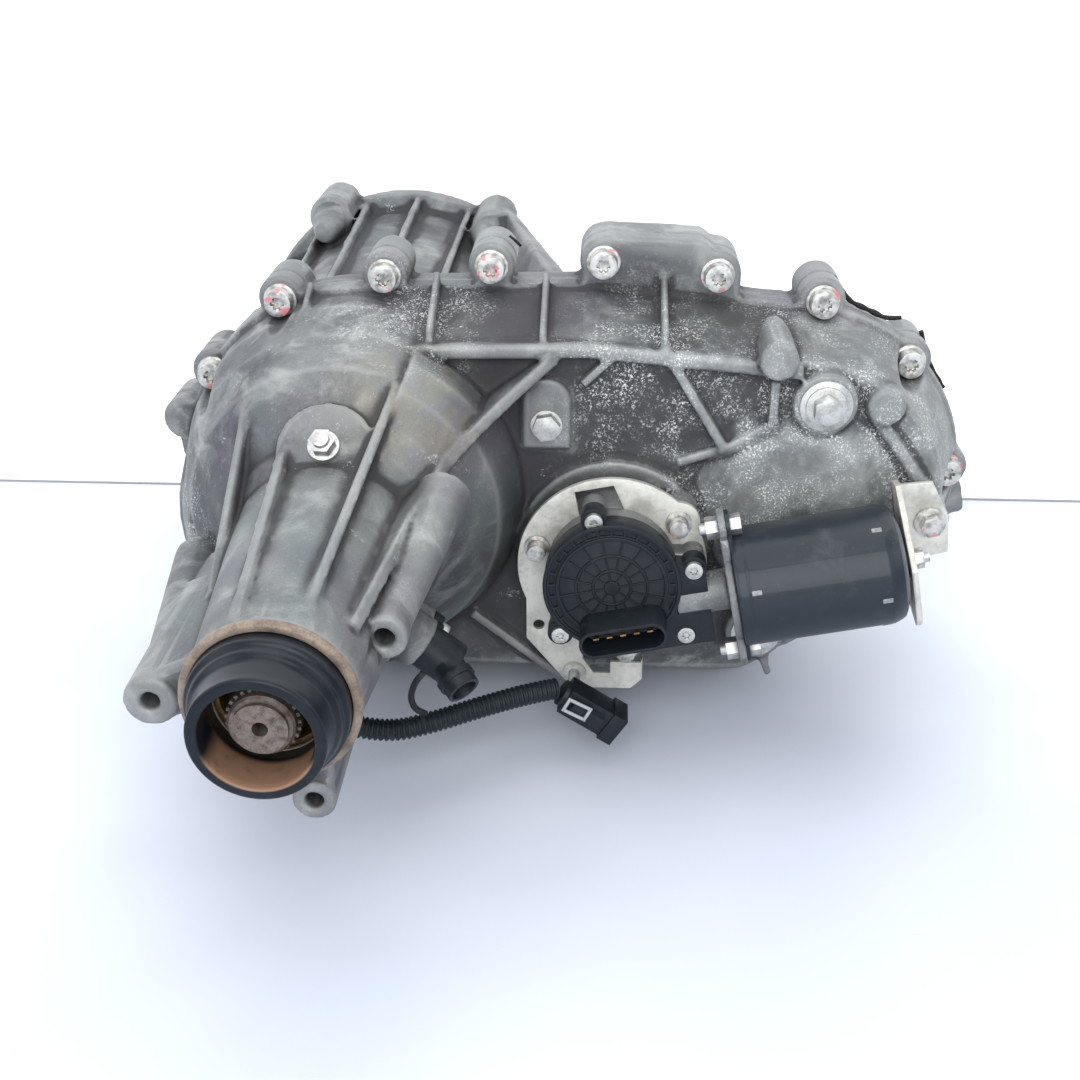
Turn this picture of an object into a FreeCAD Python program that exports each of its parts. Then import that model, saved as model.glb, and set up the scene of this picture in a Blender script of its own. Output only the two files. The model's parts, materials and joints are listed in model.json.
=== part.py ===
"""Two-shaft chain-drive transfer case with a two-speed planetary range set.

Working frame while modelling: main shaft axis along Y through X = 0, Z = 0, the split between
the case halves at Y = 0, the transmission on the +Y side and the rear output on the -Y side,
the front output to +X, Z up.  save() moves every piece so that the exported origin lies at the
centre of the adapter's mounting face.  Millimetres.
"""
import FreeCAD, Part
import math
import os

os.makedirs("parts", exist_ok=True)
V = FreeCAD.Vector
Y_AXIS = V(0, 1, 0)

# ---------------------------------------------------------------- driving dimensions
chain_pitch = 9.525
sprocket_teeth = 44
straight_links = 24
gear_module = 1.44
sun_teeth = 50
planet_teeth = 18
planet_count = 4
ring_teeth = sun_teeth + 2 * planet_teeth

running_gap = 0.05          # radial clearance of a shaft in its plain bore
seat_gap = 0.02             # radial clearance of a pressed or seated ring
side_gap = 0.3              # clearance between faces that move past each other

adapter_depth = 200.0       # split face to the transmission mounting face
sealant_thickness = 0.6
flange_rear_depth = 14.0    # split to the seat of the perimeter bolt heads
flange_front_depth = 12.0
wall = 8.0
case_floor_z = -128.0       # flat sump bottom that the unit stands on
rear_face_y = -54.0         # outer face of the rear half's chain cover
rear_crest_y = -61.0        # crest of the ribs on that cover
front_face_y = 46.0
rear_draft = 17.0           # how far the rear cover draws in from flange to face
rear_floor_rise = 25.0      # how far the floor climbs from the flange to the rear face
front_draft = 14.0
sump_floor_thickness = 24.0
chain_clearance = 2.0
rear_cavity_y = -46.0
front_cavity_y = 38.0

# outline circles of the case flange: centre x, centre z, radius
left_bulge = (-19.0, -37.0, 89.0)
main_round = (0.0, 0.0, 97.0)
top_round = (120.0, 38.0, 62.0)
output_round_radius = 90.0
sump_left_x = 62.0
sump_right_x = 200.0
sump_radius = 28.0

# perimeter bolts
bolt_radius = 4.0
bolt_boss_radius = 12.0
bolt_length = 34.0
bolt_flange_radius = 8.6
bolt_pocket_radius = 9.0
bolt_places = [(-79, 50), (-40, 90), (15, 103.5), (70, 109), (127, 112), (185, 106), (239, 93),
               (286, 62), (312, 2), (272, -76), (230, -97), (131, -116), (2, -118), (-72, -90),
               (-93, -60)]
dowel_places = [(-98, 22), (166, -116)]
dowel_radius = 5.0

# clutch dome and extension housing
dome_radius = 94.0
dome_wall = 8.0
extension_end_y = -252.0
extension_end_radius = 35.0
extension_root_radius = 46.0
extension_root_y = -128.0
boot_length = 27.8
boot_radius = 32.8

# shafts
main_bearing_bore = 20.0
main_bearing_outer = 40.0
main_bearing_y = -102.0
main_bearing_width = 18.0
main_output_radius = 14.85
main_shaft_end_y = -272.0
input_bearing_bore = 27.5
input_bearing_outer = 42.5
input_bearing_y = 86.0
input_bearing_width = 18.0
input_bore = 14.9
front_shaft_radius = 16.0
front_bearing_outer = 36.0
front_bearing_width = 16.0
front_rear_bearing_y = -46.0
front_front_bearing_y = 42.0

# planetary set
gearset_y = 56.0
gearset_width = 22.0
carrier_plate = 5.0
ring_gear_outer = 68.0
planet_pin_radius = 5.0

# range sleeve and fork
range_travel = 12.0
sector_travel_deg = 60.0
sleeve_rear_y = 10.0
sleeve_length = 42.0
sleeve_spline = 30.0
sleeve_outer = 38.0
dog_depth = 2.5
dog_clearance = 0.3
groove_width = 6.0
groove_offset = 2.0
groove_radius = 34.0
rail_x = 98.0
rail_z = -12.0
rail_radius = 7.0

# encoder and shift motor unit
sector_x = 134.5
sector_z = -30.0
unit_turn_deg = 11.7
sector_shaft_radius = 8.0
encoder_plate_y = -72.0
encoder_plate_thickness = 3.0
plate_ring_radius = 47.0
plate_left = 44.0
plate_bolt_places = [(96.0, -20.0), (167.5, -5.0), (143.0, -80.0)]
worm_y = -88.0
worm_module = 1.0
worm_wheel_teeth = 24
worm_pitch_radius = 4.5
cover_face_y = -99.0
cover_radius = 34.0
motor_radius = 30.0
motor_start = 61.0
motor_length = 82.0
motor_flange_start = 56.5
motor_bolt_offset = 35.0

# adapter
adapter_bolt_circle = 102.0
adapter_bolt_count = 6
adapter_turn_deg = -4.0
adapter_bolt_radius = 5.0
adapter_boss_radius = 13.0
adapter_outer = 100.0
adapter_inner = 84.0

centre_distance = chain_pitch * straight_links
sprocket_pitch_radius = chain_pitch / (2 * math.sin(math.pi / sprocket_teeth))
output_round = (centre_distance, 0.0, output_round_radius)
chain_y = -18.0
chain_width = 26.0
chain_back_y = chain_y - chain_width / 2
link_rise = 4.2             # height of a link's back over the pin circle
toe_depth = 3.3             # reach of a link's toes inside the pin line
tooth_clearance = 0.3       # between the chain's toes and the sprocket teeth
tooth_height = 2.6
sprocket_tip_radius = sprocket_pitch_radius * math.cos(math.pi / sprocket_teeth) - toe_depth - tooth_clearance
sprocket_root_radius = sprocket_tip_radius - tooth_height
worm_centre = worm_module * worm_wheel_teeth / 2 + worm_pitch_radius
cover_back_y = encoder_plate_y - 16.0


# ---------------------------------------------------------------- helpers
def save(name, shape):
    """Write one piece as STEP, moved into the exported frame."""
    shape = shape.copy()
    shape.translate(V(0, -adapter_depth, 0))
    shape.exportStep("parts/" + name + ".step")


def fuse(shapes):
    """Fuse a list of solids into one shape and drop the seams between coplanar faces."""
    first, rest = shapes[0], list(shapes[1:])
    return first.fuse(rest).removeSplitter() if rest else first


def cut(shape, tools):
    """Cut a list of tools from a shape."""
    return shape.cut(list(tools)).removeSplitter()


def cylinder(radius, y0, y1, x=0.0, z=0.0):
    """Cylinder along Y between two stations."""
    low, high = min(y0, y1), max(y0, y1)
    return Part.makeCylinder(radius, high - low, V(x, low, z), Y_AXIS)


def cone(radius0, radius1, y0, y1, x=0.0, z=0.0):
    """Cone along Y, radius0 at y0 and radius1 at y1, with y0 < y1."""
    return Part.makeCone(radius0, radius1, y1 - y0, V(x, y0, z), Y_AXIS)


def ring(outer, inner, y0, y1, x=0.0, z=0.0):
    """Plain ring along Y."""
    return cylinder(outer, y0, y1, x, z).cut(cylinder(inner, min(y0, y1) - 1, max(y0, y1) + 1, x, z))


def polygon(points, y):
    """Face in the plane Y = y through (x, z) points."""
    corners = [V(x, y, z) for x, z in points]
    return Part.Face(Part.makePolygon(corners + corners[:1]))


def prism(points, y0, y1):
    """Prism along Y with a polygon section given in (x, z)."""
    return polygon(points, y0).extrude(V(0, y1 - y0, 0))


def hexagon(across_flats, y0, y1, x=0.0, z=0.0, turn_deg=0.0):
    """Hexagonal prism along Y."""
    corner = across_flats / math.sqrt(3)
    points = []
    for step in range(6):
        angle = math.radians(60 * step + turn_deg)
        points.append((x + corner * math.cos(angle), z + corner * math.sin(angle)))
    return prism(points, y0, y1)


def turned(profile, x=0.0, z=0.0):
    """Solid of revolution about the Y line through (x, z); the profile holds (radius, y) points."""
    corners = [V(x + radius, y, z) for radius, y in profile]
    face = Part.Face(Part.makePolygon(corners + corners[:1]))
    return face.revolve(V(x, 0, z), Y_AXIS, 360)


def radial_plate(angle_deg, thickness, profile):
    """Rib in a plane through the main axis; the profile holds (radius, y) points."""
    corners = [V(radius, y, -thickness / 2) for radius, y in profile]
    plate = Part.Face(Part.makePolygon(corners + corners[:1])).extrude(V(0, 0, thickness))
    plate.rotate(V(0, 0, 0), Y_AXIS, -angle_deg)
    return plate


def standing_plate(x, thickness, profile):
    """Rib in a plane across X; the profile holds (y, z) points."""
    corners = [V(x - thickness / 2, y, z) for y, z in profile]
    return Part.Face(Part.makePolygon(corners + corners[:1])).extrude(V(thickness, 0, 0))


def wall_rib(x0, z0, x1, z1, thickness, y0, y1):
    """Straight rib standing on a face across Y, between two points."""
    length = math.hypot(x1 - x0, z1 - z0)
    side_x = -(z1 - z0) / length * thickness / 2
    side_z = (x1 - x0) / length * thickness / 2
    points = [(x0 + side_x, z0 + side_z), (x1 + side_x, z1 + side_z),
              (x1 - side_x, z1 - side_z), (x0 - side_x, z0 - side_z)]
    return prism(points, y0, y1)


def hull_wire(circles, y):
    """Closed outline round a loop of circles, counter-clockwise in X right, Z up."""
    count = len(circles)
    leaving, arriving, normals = [], [], []
    for index in range(count):
        x0, z0, r0 = circles[index]
        x1, z1, r1 = circles[(index + 1) % count]
        span = math.hypot(x1 - x0, z1 - z0)
        along = ((x1 - x0) / span, (z1 - z0) / span)
        lean = (r0 - r1) / span
        rise = math.sqrt(1 - lean * lean)
        normal = (along[0] * lean + along[1] * rise, along[1] * lean - along[0] * rise)
        normals.append(normal)
        leaving.append(V(x0 + r0 * normal[0], y, z0 + r0 * normal[1]))
        arriving.append(V(x1 + r1 * normal[0], y, z1 + r1 * normal[1]))
    edges = []
    for index in range(count):
        x0, z0, r0 = circles[index]
        before = normals[index - 1]
        after = normals[index]
        middle = (before[0] + after[0], before[1] + after[1])
        size = math.hypot(*middle)
        crown = V(x0 + r0 * middle[0] / size, y, z0 + r0 * middle[1] / size)
        edges.append(Part.Arc(arriving[index - 1], crown, leaving[index]).toShape())
        edges.append(Part.LineSegment(leaving[index], arriving[index]).toShape())
    return Part.Wire(edges)


def hull_prism(circles, y0, y1):
    """Prism along Y round a loop of circles."""
    return Part.Face(hull_wire(circles, y0)).extrude(V(0, y1 - y0, 0))


def case_circles(inset, floor_inset=0.0):
    """Outline circles of the case, drawn in by an inset; the sump floor keeps its height."""
    sump = sump_radius - inset * 0.5
    sump_z = case_floor_z + floor_inset + sump
    shrunk = []
    for x, z, radius in (output_round, top_round, main_round):
        shrunk.append((x, z, radius - inset))
    shrunk.append((left_bulge[0], left_bulge[1] + 0.4 * floor_inset, left_bulge[2] - inset))
    shrunk.append((sump_left_x, sump_z, sump))
    shrunk.append((sump_right_x, sump_z, sump))
    return shrunk


def case_loft(inset0, y0, floor0, inset1, y1, floor1):
    """Drafted body between two case outlines, each with its own inset and rise of the floor."""
    wires = [hull_wire(case_circles(inset0, floor0), y0), hull_wire(case_circles(inset1, floor1), y1)]
    return Part.makeLoft(wires, True, True)


def chain_circles(inset):
    """Inner outline round both sprockets and the sump."""
    radius = sprocket_pitch_radius + link_rise + chain_clearance - inset
    sump = 20 - inset * 0.5
    sump_z = case_floor_z + sump_floor_thickness + inset + sump
    return [(centre_distance, 0, radius), (0, 0, radius), (sump_left_x, sump_z, sump), (sump_right_x, sump_z, sump)]


def involute_teeth(teeth, module, y0, y1, addendum, dedendum, thinning, x=0.0, z=0.0, turn_deg=0.0):
    """Spur gear blank with involute flanks; a tooth is centred on the turn angle."""
    pitch_radius = module * teeth / 2
    pressure = math.radians(20)
    base_radius = pitch_radius * math.cos(pressure)
    root_radius = pitch_radius - dedendum
    tip_radius = pitch_radius + addendum
    half_pitch = math.pi / (2 * teeth) - thinning / (2 * pitch_radius)
    involute = math.tan(pressure) - pressure

    def half_angle(radius):
        if radius <= base_radius:
            return half_pitch + involute
        spread = math.acos(base_radius / radius)
        return half_pitch + involute - (math.tan(spread) - spread)

    low_radius = max(root_radius, base_radius)
    radii = [root_radius] if root_radius < base_radius else []
    radii += [low_radius, (low_radius + tip_radius) / 2, tip_radius]
    points = []
    for tooth in range(teeth):
        centre = 2 * math.pi * tooth / teeth + math.radians(turn_deg)
        flank = [(radius, -half_angle(radius)) for radius in radii]
        flank += [(radius, half_angle(radius)) for radius in reversed(radii)]
        for radius, offset in flank:
            points.append((x + radius * math.cos(centre + offset), z + radius * math.sin(centre + offset)))
    return prism(points, y0, y1)


def square_teeth(count, root, tip, y0, y1, land, x=0.0, z=0.0, turn_deg=0.0):
    """Ring of straight-sided teeth; land is the share of the pitch that a tooth fills at its tip."""
    points = []
    for tooth in range(count):
        centre = 2 * math.pi * tooth / count + math.radians(turn_deg)
        half_tip = math.pi / count * land
        half_root = half_tip * 1.25
        for radius, offset in ((root, -half_root), (tip, -half_tip), (tip, half_tip), (root, half_root)):
            points.append((x + radius * math.cos(centre + offset), z + radius * math.sin(centre + offset)))
    return prism(points, y0, y1)


def ball_bearing(outer, inner, y0, width, x=0.0, z=0.0, balls=10):
    """Deep-groove ball bearing: two rings and a set of balls."""
    middle = (outer + inner) / 2
    ball = (outer - inner) * 0.27
    y_mid = y0 + width / 2
    land = (outer - inner) * 0.27
    track = Part.makeTorus(middle, ball + running_gap, V(x, y_mid, z), Y_AXIS)
    outer_ring = ring(outer, outer - land, y0, y0 + width, x, z).cut(track)
    inner_ring = ring(inner + land, inner, y0, y0 + width, x, z).cut(track)
    pieces = [outer_ring, inner_ring]
    for index in range(balls):
        angle = 2 * math.pi * index / balls
        pieces.append(Part.makeSphere(ball, V(x + middle * math.cos(angle), y_mid, z + middle * math.sin(angle))))
    return Part.makeCompound(pieces)


def at_unit(shape):
    """Place a piece modelled about the sector axis, with the motor axis along X, on the case."""
    shape = shape.copy()
    shape.rotate(V(0, 0, 0), Y_AXIS, -unit_turn_deg)
    shape.translate(V(sector_x, 0, sector_z))
    return shape


def along_motor(radius, u0, u1, w=0.0, y=0.0):
    """Cylinder along the motor axis, in the unit's own frame."""
    return Part.makeCylinder(radius, u1 - u0, V(u0, worm_y + y, w - worm_centre), V(1, 0, 0))


def motor_hexagon(across_flats, u0, u1, w, y=0.0):
    """Hexagonal prism along the motor axis, in the unit's own frame."""
    corner = across_flats / math.sqrt(3)
    corners = []
    for step in range(6):
        angle = math.radians(60 * step)
        corners.append(V(u0, worm_y + y + corner * math.cos(angle), w - worm_centre + corner * math.sin(angle)))
    return Part.Face(Part.makePolygon(corners + corners[:1])).extrude(V(u1 - u0, 0, 0))


def drilled(radius, y0, y1, places):
    """One hole tool for each place."""
    return [cylinder(radius, y0, y1, x, z) for x, z in places]


# ---------------------------------------------------------------- rear case half
oil_plug_radius = 11.0
oil_plug_head = 13.0
fill_plug_place = (238.0, 54.0)
drain_plug_place = (212.0, -76.0)
plug_boss_radius = 16.0
plug_seat_y = rear_crest_y
locator_place = (100.0, 40.0)
locator_radius = 5.0
locator_seat_y = rear_face_y - 4.0
boss_a_place = (213.0, 78.0)
boss_b_place = (268.0, 53.0)
round_boss_radius = 9.5
pad_x0, pad_x1 = 116.0, 197.0
pad_top_z = 123.0
ear_left_place = (-55.0, -13.0)
ear_low_place = (10.0, -59.0)
ear_radius = 11.5
ear_low_radius = 9.5
ear_hole = 4.2
ear_face_y = -238.0
ear_low_face_y = -240.0
hanger_place = (40.0, 9.3)
hanger_radius = 10.0
hanger_hole = 4.5
hanger_relief = 5.6
hanger_face_y = -220.0
stud_angle_deg = 90.0
stud_seat_radius = 52.0
stud_seat_y = -121.0
stud_pad_radius = 23.0
sensor_angle_deg = -38.0
sensor_y = -148.0
sensor_barrel = 8.0
sensor_seat = 58.0
tone_radius = 27.0
rear_sensor_angle_deg = 240.0
sensor_boss_radius = 13.0
sensor_bolt_offset = 19.0
bracket_u, bracket_w = 162.0, -9.0
bracket_seat_y = -62.0


def unit_point(u, w):
    """(x, z) of a point given in the encoder unit's turned axes."""
    turn = math.radians(unit_turn_deg)
    return (sector_x + u * math.cos(turn) - w * math.sin(turn), sector_z + u * math.sin(turn) + w * math.cos(turn))


bracket_place = unit_point(bracket_u, bracket_w)


def outward(angle_deg, r0, r1, y, radius):
    """Cylinder that points outward from the main axis at an angle from X towards Z."""
    angle = math.radians(angle_deg)
    way = V(math.cos(angle), 0, math.sin(angle))
    return Part.makeCylinder(radius, r1 - r0, V(way.x * r0, y, way.z * r0), way)


def dome_profile(offset):
    """(radius, y) points of the clutch dome and the extension's outside, drawn in by an offset."""
    return [(dome_radius - offset, -12.0), (dome_radius - 1 - offset, -34.0), (dome_radius - 7 - offset, -60.0),
            (dome_radius - 16 - offset, -84.0 + offset), (62.0 - offset, -102.0 + offset),
            (52.0 - offset, -113.0 + offset), (extension_root_radius - offset, extension_root_y + offset)]


def shoulder_stud_frame():
    """Foot and direction of the stud on the dome's shoulder."""
    angle = math.radians(stud_angle_deg)
    lean = math.radians(45)
    way = V(math.cos(angle) * math.sin(lean), -math.cos(lean), math.sin(angle) * math.sin(lean))
    foot = V(stud_seat_radius * math.cos(angle), stud_seat_y, stud_seat_radius * math.sin(angle))
    return foot, way


def rear_outer():
    """Outer form of the rear half before it is hollowed."""
    flange_rear = -flange_rear_depth
    flange = hull_prism(case_circles(0), flange_rear, -sealant_thickness)
    body = case_loft(1.5, flange_rear + 0.5, 1.5, rear_draft, rear_face_y, rear_floor_rise)
    shapes = [flange, body]
    for x, z in bolt_places + dowel_places:
        shapes.append(cylinder(bolt_boss_radius, flange_rear, -sealant_thickness, x, z))
    pad = [(pad_x0, 90), (pad_x0, pad_top_z - 10), (pad_x0 + 12, pad_top_z + 2), (pad_x1 - 20, pad_top_z),
           (pad_x1, pad_top_z - 16), (pad_x1, 90)]
    shapes.append(prism(pad, flange_rear, -sealant_thickness))
    dome = dome_profile(0)
    shapes.append(turned([(0, -12.0)] + dome + [(extension_end_radius, extension_end_y), (0, extension_end_y)]))
    return shapes


def rear_crest():
    """Raised crest along the top edge of the rear cover."""
    outer = hull_prism(case_circles(rear_draft, rear_floor_rise), rear_crest_y, rear_face_y + 1)
    inner = hull_prism(case_circles(rear_draft + 7, rear_floor_rise), rear_crest_y - 1, rear_face_y + 2)
    keep = prism([(34, 60), (34, 110), (226, 110), (226, 60)], rear_crest_y - 2, rear_face_y + 3)
    return outer.cut(inner).common(keep)


def rear_ribs():
    """Ribs and gussets on the rear half."""
    flange_rear = -flange_rear_depth
    foot_y = rear_face_y + 2
    shapes = [rear_crest()]
    for x in (-24, 42, 98, 158):
        base = 84 if x < 0 else 90
        profile = [(flange_rear + 1, base), (flange_rear + 1, base + 16), (rear_crest_y + 6, base - 2),
                   (rear_crest_y + 6, base - 12)]
        shapes.append(standing_plate(x, 3.6, profile))
    dome_start = (dome_radius - 16, -86.0)
    shapes.append(radial_plate(67, 4.5, [(30, -90), dome_start, (33.5, extension_end_y + 2), (28, extension_end_y + 2)]))
    shapes.append(radial_plate(112, 5.0, [(30, -110), (56, -112), (36.5, extension_end_y + 4), (30, extension_end_y + 4)]))
    shapes.append(radial_plate(36, 6.0, [(30, -40), (129, rear_face_y + 2), (129, rear_crest_y), (104, -76), (84, -92),
                                         (68, -112), (56, -150), (40, extension_end_y + 20),
                                         (30, extension_end_y + 20)]))
    shapes.append(radial_plate(-62, 5.0, [(30, -70), (84, -66), (58, -110), (42, -190), (30, -200)]))
    shapes.append(radial_plate(-112, 5.0, [(30, -70), (84, -66), (58, -110), (44, -200), (30, -210)]))
    shapes.append(standing_plate(-44, 4.5, [(-60, -4), (-60, 66), (-84, 62), (-176, 4), (-170, -6), (-120, -10)]))
    shapes.append(wall_rib(157, 82, 190, 28, 5.0, rear_crest_y + 1, foot_y))
    shapes.append(wall_rib(190, 28, 213, 42, 5.0, rear_crest_y + 2, foot_y))
    shapes.append(wall_rib(213, 74, 213, 42, 5.0, rear_crest_y + 1, foot_y))
    shapes.append(wall_rib(166, 20, 190, 28, 5.0, rear_crest_y + 3, foot_y))
    shapes.append(wall_rib(262, 50, 296, 4, 6.0, rear_crest_y + 3, foot_y))
    shapes.append(wall_rib(118, 62, 132, 76, 4.0, rear_crest_y + 1, foot_y))
    shapes.append(wall_rib(60, -70, 120, -118, 5.0, rear_crest_y + 3, foot_y))
    shapes.append(wall_rib(205, -62, 222, -104, 5.0, rear_crest_y + 3, foot_y))
    return shapes


def rear_bosses():
    """Bosses, pads and ears on the rear half."""
    foot_y = rear_face_y + 2
    fill_x, fill_z = fill_plug_place
    drain_x, drain_z = drain_plug_place
    shapes = [cylinder(plug_boss_radius, plug_seat_y, foot_y + 12, fill_x, fill_z),
              cylinder(plug_boss_radius, plug_seat_y, foot_y + 12, drain_x, drain_z)]
    shapes.append(cylinder(round_boss_radius, -68, -12, *boss_a_place))
    shapes.append(cylinder(round_boss_radius, rear_crest_y, -12, *boss_b_place))
    arch_x, arch_z = locator_place
    shapes.append(cylinder(12, locator_seat_y, foot_y, arch_x, arch_z + 12))
    shapes.append(prism([(arch_x - 12, arch_z - 13), (arch_x - 12, arch_z + 12), (arch_x + 12, arch_z + 12),
                         (arch_x + 12, arch_z - 13)], locator_seat_y, foot_y))
    shapes.append(cylinder(50, rear_face_y - 4, foot_y, sector_x, sector_z))
    shapes.append(cone(30, 36, encoder_plate_y + 1, rear_face_y - 4, sector_x, sector_z))
    for x, z in plate_bolt_places:
        shapes.append(cone(9, 11, encoder_plate_y, foot_y, x, z))
    shapes.append(cone(34, 60, rear_crest_y + 1, foot_y, centre_distance, 0))
    shapes.append(cylinder(11, bracket_seat_y, foot_y + 14, *bracket_place))
    boss_x, boss_z = hanger_place
    shapes.append(cylinder(hanger_radius, hanger_face_y, -150, boss_x, boss_z))
    ridge = Part.makeCone(hanger_radius - 1.5, hanger_radius + 3, 92, V(boss_x + 0.5, hanger_face_y + 10, boss_z - 0.7),
                          V(20, 118, 30))
    shapes.append(ridge)
    shapes.append(shoulder_lobe())
    return shapes + rear_ears()


def shoulder_lobe():
    """Fuller part of the dome's shoulder between the middle rib and the long sloping rib."""
    full = turned([(0, -60), (88, -60), (86, -78), (78, -97), (66, -112), (56, -121), (44, -127), (0, -127)])
    reach = 120
    sides = [(0, 0)]
    for angle in (36, 50, 66):
        sides.append((reach * math.cos(math.radians(angle)), reach * math.sin(math.radians(angle))))
    return full.common(prism(sides, -130, -58))


def rear_ears():
    """Threaded ears at the end of the extension, each on its own web."""
    ear_x, ear_z = ear_left_place
    web = [(ear_x - 9, ear_z - 6), (ear_x - 4, ear_z + 9), (-20, 14), (-20, -14), (ear_x + 3, ear_z - 11)]
    left_web = prism(web, ear_face_y + 4, -120)
    trim = Part.makeBox(60, 200, 80, V(ear_x - 50, -400, ear_z - 40))
    low_x, low_z = ear_low_place
    low = prism([(low_x - 8, low_z), (low_x + 8, low_z), (20, -16), (-20, -16)], ear_low_face_y + 3, -150)
    low_gusset = Part.makeCone(7.5, 9, 84, V(low_x - 2, ear_low_face_y + 12, low_z + 4), V(-3, 80, 16))
    left = cylinder(ear_radius, ear_face_y, -150, ear_x, ear_z)
    left_gusset = Part.makeCone(9, 14, 120, V(ear_x, ear_face_y + 20, ear_z), V(-14, 110, -6))
    return [left_web.cut(trim.common(Part.makeBox(1, 1, 1))), left, left_gusset, low, low_gusset,
            cylinder(ear_low_radius, ear_low_face_y, -180, low_x, low_z)]


def rear_hollow():
    """Everything cut from the rear half."""
    tools = [hull_prism(chain_circles(0), chain_back_y - 1, 5)]
    mouth = [hull_wire(chain_circles(0), chain_back_y - 0.5), hull_wire(chain_circles(8), rear_cavity_y)]
    tools.append(Part.makeLoft(mouth, True, True))
    tools.append(cylinder(pickup_radius + seat_gap, rear_cavity_y - 5, rear_cavity_y + 1, *pickup_place))
    tools.append(turned([(0, 5), (dome_radius - 14, 5), (dome_radius - 15, -60), (70, -80.0), (58, -84.0), (0, -84.0)]))
    bearing_mouth = main_bearing_outer - 3
    tools.append(cylinder(main_bearing_outer + seat_gap, main_bearing_y, -80))
    tools.append(cylinder(bearing_mouth, main_bearing_y - 20, -80))
    tools.append(turned([(0, main_bearing_y - 19), (bearing_mouth, main_bearing_y - 19), (33, -130), (29, -230),
                         (bushing_outer + seat_gap, -230), (bushing_outer + seat_gap, extension_end_y - 1),
                         (0, extension_end_y - 1)]))
    tools.append(cylinder(front_bearing_outer - 5 + seat_gap, front_rear_bearing_y - 4, 0, centre_distance, 0))
    tools += drilled(bolt_radius + 0.4, -20, 1, bolt_places)
    tools += drilled(bolt_pocket_radius, rear_face_y - 20, -flange_rear_depth, bolt_places)
    motor_end = motor_start + motor_length + 4
    tools.append(at_unit(along_motor(motor_radius + 1, motor_flange_start - 8, motor_end)))
    tools += drilled(dowel_radius + seat_gap, -10, 1, dowel_places)
    tools.append(cylinder(oil_plug_radius - 2 + seat_gap, plug_seat_y - 1, -30, *fill_plug_place))
    tools.append(cylinder(oil_plug_radius - 2 + seat_gap, plug_seat_y - 1, -30, *drain_plug_place))
    tools.append(cylinder(locator_radius + seat_gap, locator_seat_y - 1, locator_seat_y + 9, *locator_place))
    tools += drilled(bolt_radius + seat_gap, encoder_plate_y - 1, encoder_plate_y + 14, plate_bolt_places)
    tools.append(cylinder(bolt_radius + seat_gap, bracket_seat_y - 1, bracket_seat_y + 12, *bracket_place))
    tools.append(cylinder(sector_shaft_radius + running_gap, -80, 0, sector_x, sector_z))
    tools.append(cylinder(hanger_hole, hanger_face_y - 1, hanger_face_y + 26, *hanger_place))
    tools.append(cylinder(hanger_relief, extension_end_y - 1, hanger_face_y, *hanger_place))
    tools.append(cylinder(ear_hole, ear_face_y - 1, ear_face_y + 26, *ear_left_place))
    tools.append(cylinder(ear_hole, ear_low_face_y - 1, ear_low_face_y + 24, *ear_low_place))
    for angle in (sensor_angle_deg, rear_sensor_angle_deg):
        tools.append(outward(angle, 20, 80, sensor_y, sensor_barrel + running_gap))
        tools.append(outward(angle, sensor_seat - 10, 80, sensor_y + sensor_bolt_offset, 3.0 + seat_gap))
    foot, way = shoulder_stud_frame()
    tools.append(Part.makeCylinder(4.0 + seat_gap, 12, foot - way * 10, way))
    return tools


def rail_boss(y0, y1):
    """Boss that holds an end of the shift rail."""
    return cylinder(rail_radius + 5, y0, y1, rail_x, rail_z)


def make_rear_case_half():
    """Rear half of the case with the clutch dome and the extension housing."""
    solid = fuse(rear_outer() + rear_ribs() + rear_bosses())
    foot, way = shoulder_stud_frame()
    pad = Part.makeCylinder(stud_pad_radius, 14, foot - way * 14, way)
    sensor_bosses = []
    for angle in (sensor_angle_deg, rear_sensor_angle_deg):
        sensor_bosses.append(outward(angle, 30, sensor_seat, sensor_y, sensor_boss_radius))
        sensor_bosses.append(outward(angle, 30, sensor_seat, sensor_y + sensor_bolt_offset, 8))
    solid = fuse([solid, pad] + sensor_bosses)
    solid = cut(solid, rear_hollow())
    rail_end = cut(rail_boss(rear_cavity_y - 1, rear_cavity_y + 10),
                   [cylinder(rail_radius + seat_gap, rear_cavity_y - 0.5, 0, rail_x, rail_z)])
    return fuse([solid, rail_end])


bushing_inner = 22.2
bushing_outer = 25.0
pickup_place = (62.0, -84.0)
pickup_radius = 4.0


# ---------------------------------------------------------------- front case half
def adapter_places():
    """Bolt places on the transmission face."""
    places = []
    for index in range(adapter_bolt_count):
        angle = math.radians(60 * index + adapter_turn_deg)
        places.append((adapter_bolt_circle * math.cos(angle), adapter_bolt_circle * math.sin(angle)))
    return places


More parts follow.
